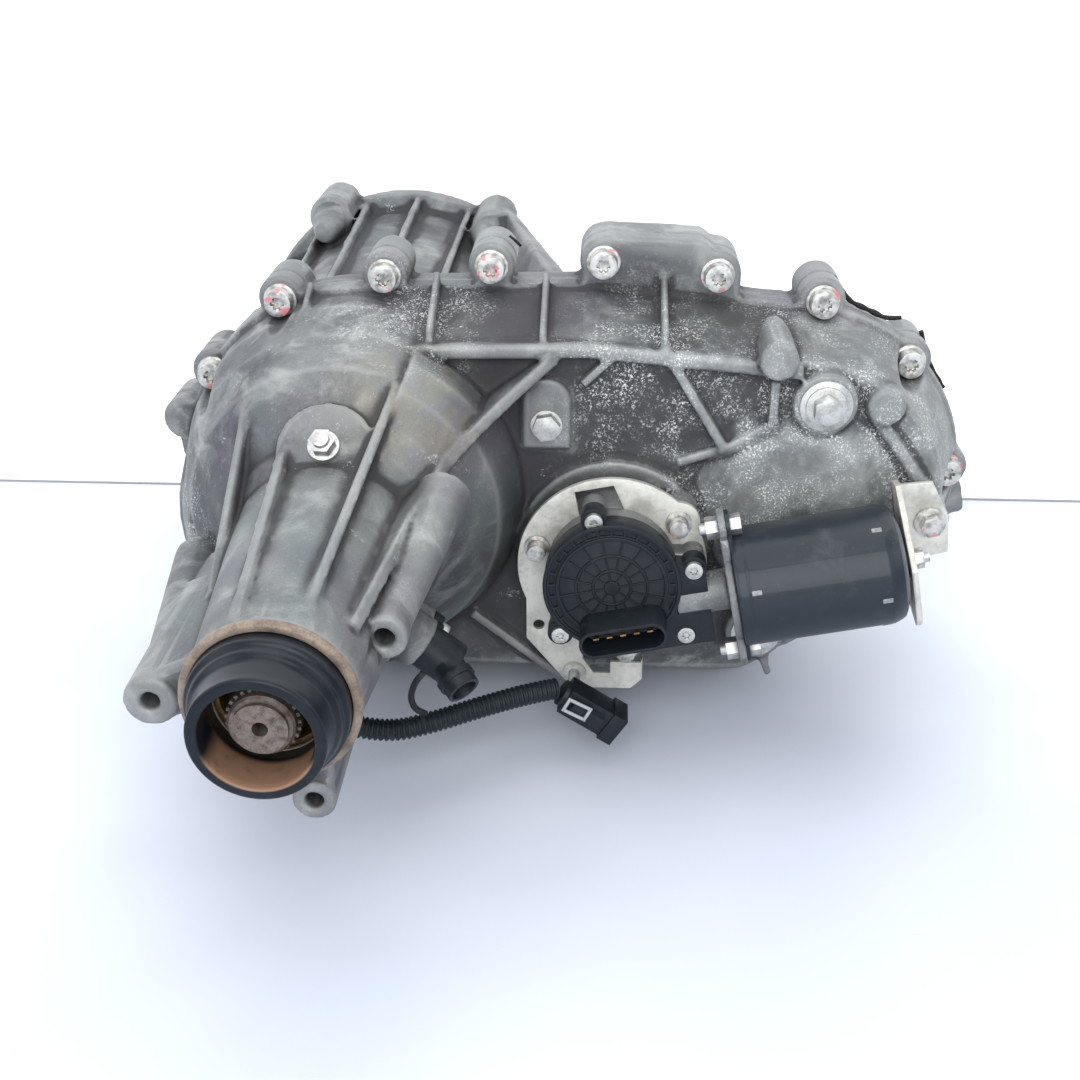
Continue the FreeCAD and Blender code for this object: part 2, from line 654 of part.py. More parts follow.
def make_front_case_half():
    """Front half of the case with the round transmission adapter and the front output boss."""
    shapes = [hull_prism(case_circles(0), 0, flange_front_depth),
              case_loft(1.5, flange_front_depth - 0.5, 1.5, front_draft, front_face_y, 1.5)]
    for x in (sump_left_x + 12, sump_right_x - 12):
        shapes.append(Part.makeBox(18, front_face_y - 4, 10, V(x - 9, 2, case_floor_z)))
    for x, z in bolt_places + dowel_places:
        shapes.append(cylinder(bolt_boss_radius, 0, flange_front_depth + 10, x, z))
    pad = [(pad_x0, 88), (pad_x0, pad_top_z - 10), (pad_x0 + 12, pad_top_z + 2), (pad_x1 - 20, pad_top_z),
           (pad_x1, pad_top_z - 16), (pad_x1, 88)]
    shapes.append(prism(pad, 0, flange_front_depth + 8))
    corner = [(-110, 26), (-80, 30), (-80, -20), (-104, -16)]
    shapes.append(prism(corner, 0, flange_front_depth))
    shapes.append(prism([(300, -5), (326, -13), (330, -30), (306, -38)], 0, flange_front_depth))
    neck = adapter_inner + 5
    shapes.append(turned([(0, 20), (neck - 4, 20), (neck - 4, front_face_y), (neck, adapter_depth - 16),
                          (adapter_outer, adapter_depth - 10), (adapter_outer, adapter_depth), (0, adapter_depth)]))
    for x, z in adapter_places():
        shapes.append(cylinder(adapter_boss_radius, adapter_depth - 46, adapter_depth, x, z))
        shapes.append(cone(6, adapter_boss_radius, adapter_depth - 74, adapter_depth - 46, x * 0.97, z * 0.97))
    for index in range(18):
        angle = 20 * index + 6
        shapes.append(radial_plate(angle, 4.0, [(neck - 8, 30), (neck + 1, 30), (adapter_outer - 2, adapter_depth - 9),
                                                (neck - 8, adapter_depth - 9)]))
    root = Part.makePolygon([V(x, 8, z) for x, z in ((78, 62), (88, 56), (112, 94), (100, 99), (78, 62))])
    tip = Part.makePolygon([V(x, 186, z) for x, z in ((50, 70), (58, 66), (70, 88), (60, 96), (50, 70))])
    shapes.append(Part.makeLoft([root, tip], True, True))
    shapes.append(cone(54, 46, front_face_y - 6, front_front_bearing_y + front_bearing_width + 20, centre_distance, 0))
    for angle in (40, 100, 160, -40, -100, -160):
        plate = radial_plate(angle, 5.0, [(30, front_face_y - 4), (78, front_face_y - 4), (50, 74), (30, 74)])
        plate.translate(V(centre_distance, 0, 0))
        shapes.append(plate)
    solid = fuse(shapes)
    tools = [hull_prism(chain_circles(0), -1, front_cavity_y)]
    tools.append(cylinder(sprocket_pitch_radius + link_rise + chain_clearance, -1, gearset_y - 2))
    tools.append(cylinder(ring_gear_outer + seat_gap, -1, gearset_y + gearset_width + 4))
    tools.append(cylinder(input_bearing_outer - 4, 0, input_bearing_y + input_bearing_width + 30))
    tools.append(cylinder(input_bearing_outer + seat_gap, input_bearing_y, input_bearing_y + input_bearing_width + 30))
    tools.append(turned([(0, 118), (adapter_inner - 20, 118), (adapter_inner, 140), (adapter_inner, adapter_depth + 1),
                         (0, adapter_depth + 1)]))
    tools.append(cylinder(front_bearing_outer + seat_gap, front_front_bearing_y, 60 + 30, centre_distance, 0))
    tools.append(cylinder(front_bearing_outer - 5, 0, front_front_bearing_y + 5, centre_distance, 0))
    tools += drilled(bolt_radius + seat_gap, -1, 21, bolt_places)
    tools += drilled(dowel_radius + seat_gap, -1, 10, dowel_places)
    tools += drilled(adapter_bolt_radius, adapter_depth - 30, adapter_depth + 1, adapter_places())
    solid = cut(solid, tools)
    rail_end = cut(rail_boss(front_cavity_y - 10, front_cavity_y + 1),
                   [cylinder(rail_radius + seat_gap, 0, front_cavity_y, rail_x, rail_z)])
    return fuse([solid, rail_end])


def make_case_sealant():
    """Bead of sealant between the halves, squeezed out here and there."""
    sheet = hull_prism(case_circles(1.0), -sealant_thickness, 0)
    for x, z in bolt_places + dowel_places:
        sheet = sheet.fuse(cylinder(bolt_boss_radius - 1, -sealant_thickness, 0, x, z))
    tools = [hull_prism(chain_circles(-1), -2, 2)]
    tools += drilled(bolt_radius + 0.4, -2, 2, bolt_places)
    tools += drilled(dowel_radius + 0.4, -2, 2, dowel_places)
    return cut(sheet, tools)


def make_case_bolts():
    """Perimeter bolts: flanged head with a recessed drive, washer face on the rear flange."""
    solids = []
    seat = -flange_rear_depth
    for x, z in bolt_places:
        head = fuse([cylinder(bolt_flange_radius, seat - 2.2, seat, x, z), cone(6.8, 7.3, seat - 9.5, seat - 2.2, x, z),
                     cylinder(bolt_radius, seat, seat + bolt_length, x, z)])
        solids.append(cut(head, [square_teeth(6, 2.6, 3.6, seat - 10, seat - 6, 0.5, x, z)]))
    return Part.makeCompound(solids)


def make_case_dowels():
    """Locating dowels between the halves."""
    return Part.makeCompound([ring(dowel_radius, dowel_radius - 1.5, -9, 9, x, z) for x, z in dowel_places])


# ---------------------------------------------------------------- rotating parts
def make_input_shaft():
    """Input shaft with its sun gear, range dog teeth and female spline."""
    sun = involute_teeth(sun_teeth, gear_module, gearset_y, gearset_y + gearset_width, 0.85 * gear_module,
                         1.2 * gear_module, 0.12)
    dog = square_teeth(24, sleeve_spline - 2.5, sleeve_spline, sleeve_rear_y + sleeve_length - 8, gearset_y, 0.42)
    bearing_end = input_bearing_y + input_bearing_width
    body = turned([(0, gearset_y), (27, gearset_y), (27, gearset_y + gearset_width),
                   (input_bearing_bore + 3, gearset_y + gearset_width), (input_bearing_bore + 3, input_bearing_y),
                   (input_bearing_bore, input_bearing_y), (input_bearing_bore, bearing_end + 2), (25, bearing_end + 4),
                   (25, 158), (23, 162), (0, 162)])
    solid = fuse([sun, dog, body])
    pilot = cylinder(pilot_radius + running_gap, 0, gearset_y + gearset_width + 8)
    spline = square_teeth(27, input_bore - 1.2, input_bore, gearset_y + gearset_width + 12, 170, 0.45)
    return cut(solid, [pilot, spline])


pilot_radius = 12.0


def make_ring_gear():
    """Fixed ring gear of the planetary set."""
    teeth = involute_teeth(ring_teeth, gear_module, gearset_y - 1, gearset_y + gearset_width + 1, 1.2 * gear_module,
                           0.85 * gear_module, -0.12, 0, 0, 180.0 / ring_teeth)
    blank = ring(ring_gear_outer, ring_gear_outer - 12, gearset_y, gearset_y + gearset_width)
    return blank.cut(teeth)


def planet_centres():
    """Planet axes on the carrier."""
    radius = gear_module * (sun_teeth + planet_teeth) / 2
    places = []
    for index in range(planet_count):
        angle = 2 * math.pi * index / planet_count
        places.append((radius * math.cos(angle), radius * math.sin(angle)))
    return places


carrier_outer = 58.0
carrier_drum = 50.0
drum_teeth_radius = 44.6


def make_planet_carrier():
    """Carrier: two plates joined by posts, with the low-range drum towards the rear."""
    rear_y = gearset_y - 1 - carrier_plate
    front_y = gearset_y + gearset_width + 1
    low_y = sleeve_rear_y + 10
    shapes = [ring(carrier_outer, sleeve_outer + 1, rear_y, rear_y + carrier_plate),
              ring(carrier_outer, 39, front_y, front_y + carrier_plate - 2)]
    for index in range(planet_count):
        angle = math.degrees(2 * math.pi * (index + 0.5) / planet_count)
        post = radial_plate(angle, 12.0, [(42, rear_y + 1), (55, rear_y + 1), (55, front_y + 1), (42, front_y + 1)])
        shapes.append(post)
    shapes.append(ring(carrier_drum, 46.5, low_y, rear_y + 1))
    solid = fuse(shapes)
    dogs = ring(47, drum_teeth_radius - dog_depth, low_y, low_y + 8)
    dogs = dogs.cut(square_teeth(32, drum_teeth_radius - dog_depth - 0.1, drum_teeth_radius + 0.2, low_y - 1, low_y + 9, 0.52))
    solid = fuse([solid, dogs])
    holes = [cylinder(planet_pin_radius + seat_gap, rear_y - 1, front_y + 6, x, z) for x, z in planet_centres()]
    return cut(solid, holes)


def make_planet_pins():
    """Pins that carry the planets."""
    rear_y = gearset_y - 1 - carrier_plate
    front_y = gearset_y + gearset_width + carrier_plate - 1
    return Part.makeCompound([cylinder(planet_pin_radius, rear_y, front_y, x, z) for x, z in planet_centres()])


def make_planet_gear(index):
    """One planet, in mesh with the sun and the ring."""
    x, z = planet_centres()[index]
    angle = 360.0 * index / planet_count
    half_tooth = 180.0 / planet_teeth
    sun_phase = (angle * sun_teeth / 360.0) % 1.0
    turn = angle + 180 + half_tooth + sun_phase * 2 * half_tooth
    gear = involute_teeth(planet_teeth, gear_module, gearset_y + 0.5, gearset_y + gearset_width - 0.5,
                          0.85 * gear_module, 1.2 * gear_module, 0.12, x, z, turn)
    return gear.cut(cylinder(planet_pin_radius + running_gap, gearset_y - 2, gearset_y + gearset_width + 2, x, z))


def make_range_sleeve():
    """Sliding sleeve that locks the main shaft to the input or to the carrier."""
    y0 = sleeve_rear_y
    y1 = y0 + sleeve_length
    groove = y0 + groove_offset
    body = turned([(sleeve_spline - 4, y0), (sleeve_outer, y0), (sleeve_outer, groove), (groove_radius, groove),
                   (groove_radius, groove + groove_width), (sleeve_outer, groove + groove_width),
                   (sleeve_outer, y1), (sleeve_spline - 4, y1)])
    dog_tip = drum_teeth_radius - dog_depth - dog_clearance
    dogs = square_teeth(32, sleeve_outer - 1, dog_tip, y0 + 20.5, y0 + 27.5, 0.36)
    body = body.fuse(dogs)
    return cut(body, [square_teeth(24, sleeve_spline - 2.4, sleeve_spline + 0.15, y0 - 1, y1 + 1, 0.5),
                      cylinder(sleeve_spline - 2.4, y0 - 1, y1 + 1)])


def make_mainshaft():
    """Main shaft from the pilot in the input to the splined output end."""
    hub0 = sleeve_rear_y - 2
    hub1 = sleeve_rear_y + sleeve_length - 10
    hub = square_teeth(24, sleeve_spline - 2.6, sleeve_spline, hub0, hub1, 0.42)
    front = turned([(0, gearset_y + gearset_width + 6), (pilot_radius, gearset_y + gearset_width + 6),
                    (pilot_radius, hub1 - 1), (24, hub1 - 1), (24, -2), (22.5, -2), (22.5, -80),
                    (main_bearing_bore, -80), (main_bearing_bore, main_bearing_y - 18), (18.5, -121), (18.5, -150),
                    (16.2, -152), (16.2, -190), (main_output_radius - 1.4, -192),
                    (main_output_radius - 1.4, main_shaft_end_y + 1), (main_output_radius - 2.4, main_shaft_end_y),
                    (0, main_shaft_end_y)])
    spline = square_teeth(27, main_output_radius - 1.6, main_output_radius, main_shaft_end_y + 4, -196, 0.42)
    solid = fuse([hub, front, spline])
    return cut(solid, [cylinder(plug_hole_radius, main_shaft_end_y - 1, main_shaft_end_y + 24)])


plug_hole_radius = 4.4


def make_shaft_end_plug():
    """Washer and plug in the centre of the output end."""
    plate = ring(11.0, plug_hole_radius - 1.2, main_shaft_end_y - 2.0, main_shaft_end_y)
    return plate.fuse(ring(plug_hole_radius - 0.05, plug_hole_radius - 1.2, main_shaft_end_y - 0.1, main_shaft_end_y + 12))


def sprocket(x, z, bore, phase_deg):
    """Silent-chain sprocket with a tooth at the middle of each link."""
    y0 = chain_y - chain_width / 2
    y1 = chain_y + chain_width / 2
    count = sprocket_teeth
    points = []
    for tooth in range(count):
        centre = 2 * math.pi * (tooth + 0.5) / count + math.radians(phase_deg)
        for radius, half in ((sprocket_root_radius, 1.9), (sprocket_tip_radius, 0.8)):
            points.append((radius, centre - half / radius))
        points.append((sprocket_tip_radius, centre + 0.8 / sprocket_tip_radius))
        points.append((sprocket_root_radius, centre + 1.9 / sprocket_root_radius))
    outline = [(x + radius * math.cos(angle), z + radius * math.sin(angle)) for radius, angle in points]
    return prism(outline, y0, y1).cut(cylinder(bore, y0 - 1, y1 + 1, x, z))


clutch_drum_outer = 64.0
clutch_front_y = chain_y - chain_width / 2
clutch_rear_y = -76.0


def make_drive_sprocket():
    """Drive sprocket with the clutch drum behind it."""
    teeth = sprocket(0, 0, 24 + 1, 0)
    floor = ring(clutch_drum_outer, 25, clutch_front_y - 4, clutch_front_y + 0.5)
    drum = ring(clutch_drum_outer, clutch_drum_outer - 4, clutch_rear_y, clutch_front_y - 2)
    solid = fuse([teeth, floor, drum])
    slots = []
    for index in range(12):
        slots.append(radial_plate(30 * index, 6.0, [(clutch_drum_outer - 8, -66), (clutch_drum_outer + 4, -66),
                                                    (clutch_drum_outer + 4, -44), (clutch_drum_outer - 8, -44)]))
    bore = cylinder(22.5 + running_gap, clutch_front_y - 5, chain_y + chain_width / 2 + 1)
    solid = cut(solid, slots)
    web = ring(30, 22.5 + running_gap, clutch_front_y - 4, chain_y + chain_width / 2)
    return cut(fuse([solid, web]), [bore])


def make_clutch_hub():
    """Hub on the main shaft that carries the inner clutch plates."""
    wall_y = clutch_rear_y + 2
    hub = ring(32, 22.5 + seat_gap, wall_y, clutch_front_y - 6)
    flange = ring(44, 30, wall_y, wall_y + 4)
    shell = ring(44, 40.5, wall_y, clutch_front_y - 8)
    return fuse([hub, flange, shell])


def make_clutch_plates():
    """Stack of clutch plates between hub and drum."""
    plates = []
    first = clutch_rear_y + 8
    for index in range(11):
        y0 = first + 2.6 * index
        plates.append(ring(clutch_drum_outer - 4.6, 44 + seat_gap, y0, y0 + 1.8))
    return Part.makeCompound(plates)


def make_tone_ring():
    """Toothed wheel that the speed sensors read."""
    teeth = square_teeth(40, tone_radius - 2.5, tone_radius, sensor_y - 5, sensor_y + 5, 0.45)
    return teeth.cut(cylinder(18.5 + seat_gap, sensor_y - 6, sensor_y + 6))


pump_y = -121.5
pump_width = 12.0


def make_oil_pump_housing():
    """Pump housing round the main shaft behind the bearing."""
    body = cylinder(main_bearing_outer - 3.4, pump_y, pump_y + pump_width)
    pocket = cylinder(27.2, pump_y + 2.5, pump_y + pump_width - 2.5)
    return cut(body, [pocket, cylinder(20.6, pump_y - 1, pump_y + pump_width + 1)])


def make_pump_rotor():
    """Rotor driven by the main shaft."""
    rotor = square_teeth(8, 23.5, 26.6, pump_y + 2.8, pump_y + pump_width - 2.8, 0.5)
    return rotor.cut(cylinder(main_bearing_bore + seat_gap, pump_y, pump_y + pump_width))


def link_outline(half_offset):
    """Plate outline of one link in (along, outward) with its two toes and the notch between them."""
    far = chain_pitch
    end = half_offset
    return [(-end, -0.5), (-end, 2.6), (-end + 1.4, 4.0), (far + end - 1.4, 4.0), (far + end, 2.6), (far + end, -0.5),
            (far + 1.3, -toe_depth), (far - 1.2, -toe_depth), (far / 2, -1.2), (1.2, -toe_depth), (-1.3, -toe_depth)]


def chain_pins():
    """Pin centres of the closed chain, round both sprockets."""
    radius = sprocket_pitch_radius
    step = 2 * math.pi / sprocket_teeth
    half = sprocket_teeth // 2
    places = []
    for index in range(half):
        angle = math.pi / 2 + step * index
        places.append((radius * math.cos(angle), radius * math.sin(angle)))
    for index in range(straight_links):
        places.append((chain_pitch * index, -radius))
    for index in range(half):
        angle = -math.pi / 2 + step * index
        places.append((centre_distance + radius * math.cos(angle), radius * math.sin(angle)))
    for index in range(straight_links):
        places.append((centre_distance - chain_pitch * index, radius))
    return places


def make_drive_chain():
    """Silent chain: outer links with their pins, inner links between them."""
    pins = chain_pins()
    count = len(pins)
    y0 = chain_y - chain_width / 2 + 1
    y1 = chain_y + chain_width / 2 - 1
    pack = (y1 - y0) / 3
    solids = []
    for index in range(count):
        x0, z0 = pins[index]
        x1, z1 = pins[(index + 1) % count]
        length = math.hypot(x1 - x0, z1 - z0)
        along = ((x1 - x0) / length, (z1 - z0) / length)
        outward_way = (along[1], -along[0])
        outline = []
        for t, n in link_outline(2.9):
            outline.append((x0 + along[0] * t + outward_way[0] * n, z0 + along[1] * t + outward_way[1] * n))
        if index % 2 == 0:
            parts = [prism(outline, y0, y0 + pack - 0.15), prism(outline, y1 - pack + 0.15, y1),
                     hexagon(2.8, y0 + 0.5, y1 - 0.5, x0, z0), hexagon(2.8, y0 + 0.5, y1 - 0.5, x1, z1)]
            solids.append(parts[0].fuse(parts[1:]))
        else:
            plate = prism(outline, y0 + pack + 0.15, y1 - pack - 0.15)
            plate = plate.cut([hexagon(3.4, y0, y1, x0, z0), hexagon(3.4, y0, y1, x1, z1)])
            solids.append(plate)
    return Part.makeCompound(solids)


def make_front_output_shaft():
    """Front output shaft with its spline for the flange."""
    x = centre_distance
    front_end = front_front_bearing_y + front_bearing_width
    return turned([(0, front_rear_bearing_y - 2), (15, front_rear_bearing_y - 2), (15, clutch_front_y - 1),
                   (front_shaft_radius + 3, clutch_front_y - 1), (front_shaft_radius + 3, -2),
                   (front_shaft_radius + 1.5, -2), (front_shaft_radius + 1.5, front_front_bearing_y),
                   (front_shaft_radius, front_front_bearing_y), (front_shaft_radius, front_end + 24),
                   (12, front_end + 24), (12, front_end + 52), (0, front_end + 52)], x, 0)


def make_driven_sprocket():
    """Driven sprocket on the front output shaft, lightened by round windows."""
    bore = front_shaft_radius + 3 + seat_gap
    wheel = sprocket(centre_distance, 0, bore, 0)
    windows = []
    for index in range(6):
        angle = math.radians(60 * index + 30)
        windows.append(cylinder(10, chain_y - 20, chain_y + 20, centre_distance + 41 * math.cos(angle), 41 * math.sin(angle)))
    return cut(wheel, windows)


flange_face_y = 104.0
flange_radius = 52.0
flange_bolt_circle = 84.0
flange_hole_radius = 5.2


def make_front_output_flange():
    """Companion flange on the front output shaft."""
    front_end = front_front_bearing_y + front_bearing_width
    x = centre_distance
    hub = turned([(front_shaft_radius + seat_gap, front_end + 0.5), (23, front_end + 0.5), (23, flange_face_y - 20),
                  (flange_radius, flange_face_y - 10), (flange_radius, flange_face_y), (30, flange_face_y),
                  (30, flange_face_y - 7), (12.1, flange_face_y - 7), (12.1, front_end + 24 + 0.2),
                  (front_shaft_radius + seat_gap, front_end + 24 + 0.2)], x, 0)
    holes = []
    for index in range(4):
        angle = math.radians(90 * index + 45)
        holes.append(cylinder(flange_hole_radius, flange_face_y - 25, flange_face_y + 1,
                              x + flange_bolt_circle / 2 * math.cos(angle), flange_bolt_circle / 2 * math.sin(angle)))
    return cut(hub, holes)


def make_flange_nut():
    """Nut that holds the flange."""
    x = centre_distance
    body = hexagon(36, flange_face_y - 7, flange_face_y + 5, x, 0)
    return body.cut(cylinder(12 + seat_gap, flange_face_y - 9, flange_face_y + 8, x, 0))


# ---------------------------------------------------------------- shift mechanism
fork_width = groove_width - 2 * side_gap


def make_range_fork():
    """Fork on the shift rail with its arms in the sleeve groove and a pin for the cam."""
    y0 = sleeve_rear_y + groove_offset + side_gap
    y1 = y0 + fork_width
    arms = ring(47, groove_radius + side_gap, y0, y1)
    keep = prism([(-12, -60), (-12, 60), (60, 60), (60, -60)], y0 - 1, y1 + 1)
    arms = arms.common(keep)
    web = prism([(42, -16), (44, 10), (rail_x, rail_z + 10), (rail_x, rail_z - 10)], y0, y1)
    hub = cylinder(12, y0 - 3, y1 + 6, rail_x, rail_z)
    reach = math.hypot(sector_x - rail_x, sector_z - rail_z)
    way = V((sector_x - rail_x) / reach, 0, (sector_z - rail_z) / reach)
    pin_y = (y0 + y1) / 2
    arm = Part.makeCylinder(3.0, reach - cam_radius + 3.5 - 10, V(rail_x + way.x * 10, pin_y, rail_z + way.z * 10), way)
    solid = fuse([arms, web, hub, arm])
    return cut(solid, [cylinder(rail_radius + running_gap, y0 - 10, y1 + 20, rail_x, rail_z)])


cam_radius = 20.0


def make_shift_rail():
    """Rail that guides the fork."""
    return cylinder(rail_radius, rear_cavity_y + 0.3, front_cavity_y - 0.3, rail_x, rail_z)


def cam_groove():
    """Helical groove of the range cam, cut by the fork pin's path with clearance."""
    reach = math.hypot(sector_x - rail_x, sector_z - rail_z)
    way_x = (rail_x - sector_x) / reach
    way_z = (rail_z - sector_z) / reach
    start = math.atan2(way_z, way_x)
    pin_y = sleeve_rear_y + groove_offset + groove_width / 2
    tools = []
    steps = 20
    for step in range(-2, steps + 3):
        share = step / steps
        angle = start - math.radians(sector_travel_deg) * share
        way = V(math.cos(angle), 0, math.sin(angle))
        centre = V(sector_x + way.x * (cam_radius - 5), pin_y - range_travel * share, sector_z + way.z * (cam_radius - 5))
        tools.append(Part.makeCylinder(3.0 + side_gap + 0.1, 8, centre, way))
    return tools


def make_sector_shaft():
    """Sector shaft with the range cam inside the case and the worm wheel outside."""
    cam_rear = -8.0
    cam_front = 26.0
    shaft = cylinder(sector_shaft_radius, worm_y - 5, front_cavity_y - 2, sector_x, sector_z)
    cam = cylinder(cam_radius, cam_rear, cam_front, sector_x, sector_z)
    cam = cut(cam, cam_groove())
    return fuse([shaft, cam, sector_gear()])


def sector_gear():
    """Worm wheel on the sector shaft."""
    count = worm_wheel_teeth
    pitch_radius = worm_module * count / 2
    wheel = square_teeth(count, pitch_radius - 2.2, pitch_radius - 0.85, worm_y - 4, worm_y + 4, 0.36, 0, 0, -90)
    return at_unit(wheel)


def make_motor_armature():
    """Motor shaft with the worm on its inner end and the wound core inside the can."""
    shaft = along_motor(3.0, -16, motor_start + motor_length - 6)
    core = along_motor(19.0, motor_start + 16, motor_start + 56)
    commutator = along_motor(9.0, motor_start + 3, motor_start + 14)
    grooves = []
    pitch = math.pi * worm_module
    body = along_motor(worm_pitch_radius + 0.6, -13, 13)
    for index in range(-5, 5):
        u = (index + 0.5) * pitch
        grooves.append(ring_groove(u, pitch))
    return at_unit(fuse([cut(body, grooves), shaft, core, commutator]))


def ring_groove(u, pitch):
    """Groove of the worm seen as one turn at its station."""
    low = worm_pitch_radius - 1.15
    high = worm_pitch_radius + 2
    half_low = pitch * 0.22
    half_high = pitch * 0.36
    corners = [V(u - half_low, low, 0), V(u + half_low, low, 0), V(u + half_high, high, 0), V(u - half_high, high, 0)]
    face = Part.Face(Part.makePolygon(corners + corners[:1]))
    groove = face.revolve(V(0, 0, 0), V(1, 0, 0), 360)
    groove.translate(V(0, worm_y, -worm_centre))
    return groove


# ---------------------------------------------------------------- encoder and motor unit
screw_places = [(-2.4, 36.0), (41.5, 1.0), (-31.0, -23.5), (32.0, -34.5)]
screw_radius = 2.4
tunnel_radius = 7.5


def make_encoder_plate():
    """Stamped plate that carries the gear housing."""
    y0 = encoder_plate_y - encoder_plate_thickness
    y1 = encoder_plate_y
    left = sector_x - plate_left
    disc = cylinder(plate_ring_radius + 1.5, y0, y1, sector_x, sector_z)
    skirt = prism([(left, sector_z + 8), (left, -74), (left + 20, -99), (left + 26, -104), (146, -104), (152, -98),
                   (152, -86), (sector_x + 20, -60)], y0, y1)
    lug = cylinder(11, y0, y1, *plate_bolt_places[1])
    solid = fuse([disc, skirt, lug])
    notch = prism([(124, -60), (120, -86), (126, -95), (135, -95), (135, -88), (151, -88), (160, -60)], y0 - 1, y1 + 1)
    top_notch = at_unit(prism([(-11, 30), (-11, 44), (9, 44), (12, 30)], y0 - 1, y1 + 1))
    tools = [notch, top_notch, cylinder(31.0, y0 - 1, y1 + 1, sector_x, sector_z)]
    tools += drilled(bolt_radius + 0.5, y0 - 1, y1 + 1, plate_bolt_places[:2])
    tools += drilled(3.0, y0 - 1, y1 + 1, [(97.0, -66.0), clip_place])
    return cut(solid, tools)


def make_encoder_plate_bolts():
    """Bolts through the plate into the case pads."""
    solids = []
    for index, (x, z) in enumerate(plate_bolt_places):
        seat = encoder_plate_y - encoder_plate_thickness
        if index == 2:
            seat = encoder_plate_y
        solids.append(fuse([cylinder(6.6, seat - 2, seat, x, z), cone(4.6, 5.0, seat - 9, seat - 2, x, z),
                            cylinder(bolt_radius, seat, encoder_plate_y + 12, x, z)]))
    return Part.makeCompound(solids)


def make_gear_housing():
    """Cast housing of the worm drive, with the motor's mounting flange."""
    y1 = encoder_plate_y - encoder_plate_thickness
    shell = cylinder(cover_radius - 1, cover_back_y + 1.5, y1)
    register = cylinder(30.9, y1 - 1, y1 + 2.5)
    tunnel = along_motor(tunnel_radius, -20, motor_flange_start)
    base = along_motor(10.5, 30, motor_flange_start)
    block = prism([(18, -38), (46, -38), (46, 4), (18, 10)], cover_back_y + 1.5, y1)
    lugs = [cylinder(6, cover_back_y + 1.5, y1, u, w) for u, w in screw_places]
    flange_top = motor_bolt_offset + 7
    flange = Part.makeBox(motor_start - motor_flange_start - 0.5, 30, 2 * flange_top - 16,
                          V(motor_flange_start, worm_y - 15, -worm_centre - flange_top + 8))
    ends = [along_motor(9, motor_flange_start, motor_start - 0.5, side * motor_bolt_offset) for side in (1, -1)]
    solid = fuse([shell, register, tunnel, base, block, flange] + lugs + ends + [along_motor(26, motor_flange_start, motor_start - 0.5)])
    bore = cylinder(sector_shaft_radius + running_gap, -200, -20)
    pocket = cylinder(14.5, cover_back_y - 15, worm_y + 5)
    worm_room = along_motor(6.0, -18, motor_start)
    holes = [along_motor(3.1, motor_flange_start - 1, motor_start, side * motor_bolt_offset) for side in (1, -1)]
    screws = [cylinder(screw_radius + seat_gap, cover_back_y - 3, y1 - 3, u, w) for u, w in screw_places]
    return at_unit(cut(solid, [bore, pocket, worm_room] + holes + screws))


def make_sensor_cover():
    """Black position sensor cover with its ribbed round face, side block and connector shell."""
    y1 = cover_back_y + 1.5
    face = cover_face_y
    disc = cylinder(cover_radius, face, y1)
    block = prism([(16, -40), (46, -40), (47, 2), (20, 10)], face + 1.5, y1)
    lugs = [cylinder(6.5, face + 4, y1, u, w) for u, w in screw_places]
    shell = cylinder(7.5, face - 20, face + 2, -12.5, -20).fuse(
        [cylinder(7.5, face - 20, face + 2, 16.5, -20), prism([(-12.5, -27.5), (16.5, -27.5), (16.5, -12.5), (-12.5, -12.5)],
                                                             face - 20, face + 2)])
    solid = fuse([disc, block, shell] + lugs)
    socket = cylinder(5.9, face - 21, face - 3, -12.5, -20).fuse(
        [cylinder(5.9, face - 21, face - 3, 16.5, -20), prism([(-12.5, -25.9), (16.5, -25.9), (16.5, -14.1), (-12.5, -14.1)],
                                                             face - 21, face - 3)])
    groove = ring(31.5, 29.0, face - 1, face + 1.2).cut(prism([(-20, -34), (26, -34), (26, -8), (-20, -8)], face - 2, face + 3))
    inside = cylinder(cover_radius - 3, face + 3, y1 + 1)
    screws = [cylinder(screw_radius + seat_gap, face - 2, y1 + 1, u, w) for u, w in screw_places]
    screws += [cylinder(4.8, face - 3, face + 4, u, w) for u, w in screw_places]
    screws += [along_motor(tunnel_radius + side_gap, -21, 70), along_motor(10.5 + side_gap, 30 - side_gap, 70)]
    solid = cut(solid, [socket, groove, inside.cut(prism([(-40, -60), (60, -60), (60, -25), (-40, -25)], face, y1 + 2))] + screws)
    return at_unit(solid)


def make_sensor_cover_screws():
    """Screws of the sensor cover."""
    solids = []
    seat = cover_face_y + 4
    for u, w in screw_places:
        head = fuse([cylinder(4.4, seat - 2.8, seat, u, w), cylinder(screw_radius, seat, cover_back_y + 9.5, u, w)])
        solids.append(cut(head, [square_teeth(6, 1.5, 2.1, seat - 3, seat - 1.2, 0.5, u, w)]))
    return at_unit(Part.makeCompound(solids))


def make_connector_pins():
    """Five blade pins in the sensor connector."""
    pins = []
    for index in range(5):
        u = 2 + (index - 2) * 6.8
        pins.append(Part.makeBox(2.8, 11, 0.8, V(u - 1.4, cover_face_y - 14, -20.4)))
    return at_unit(Part.makeCompound(pins))


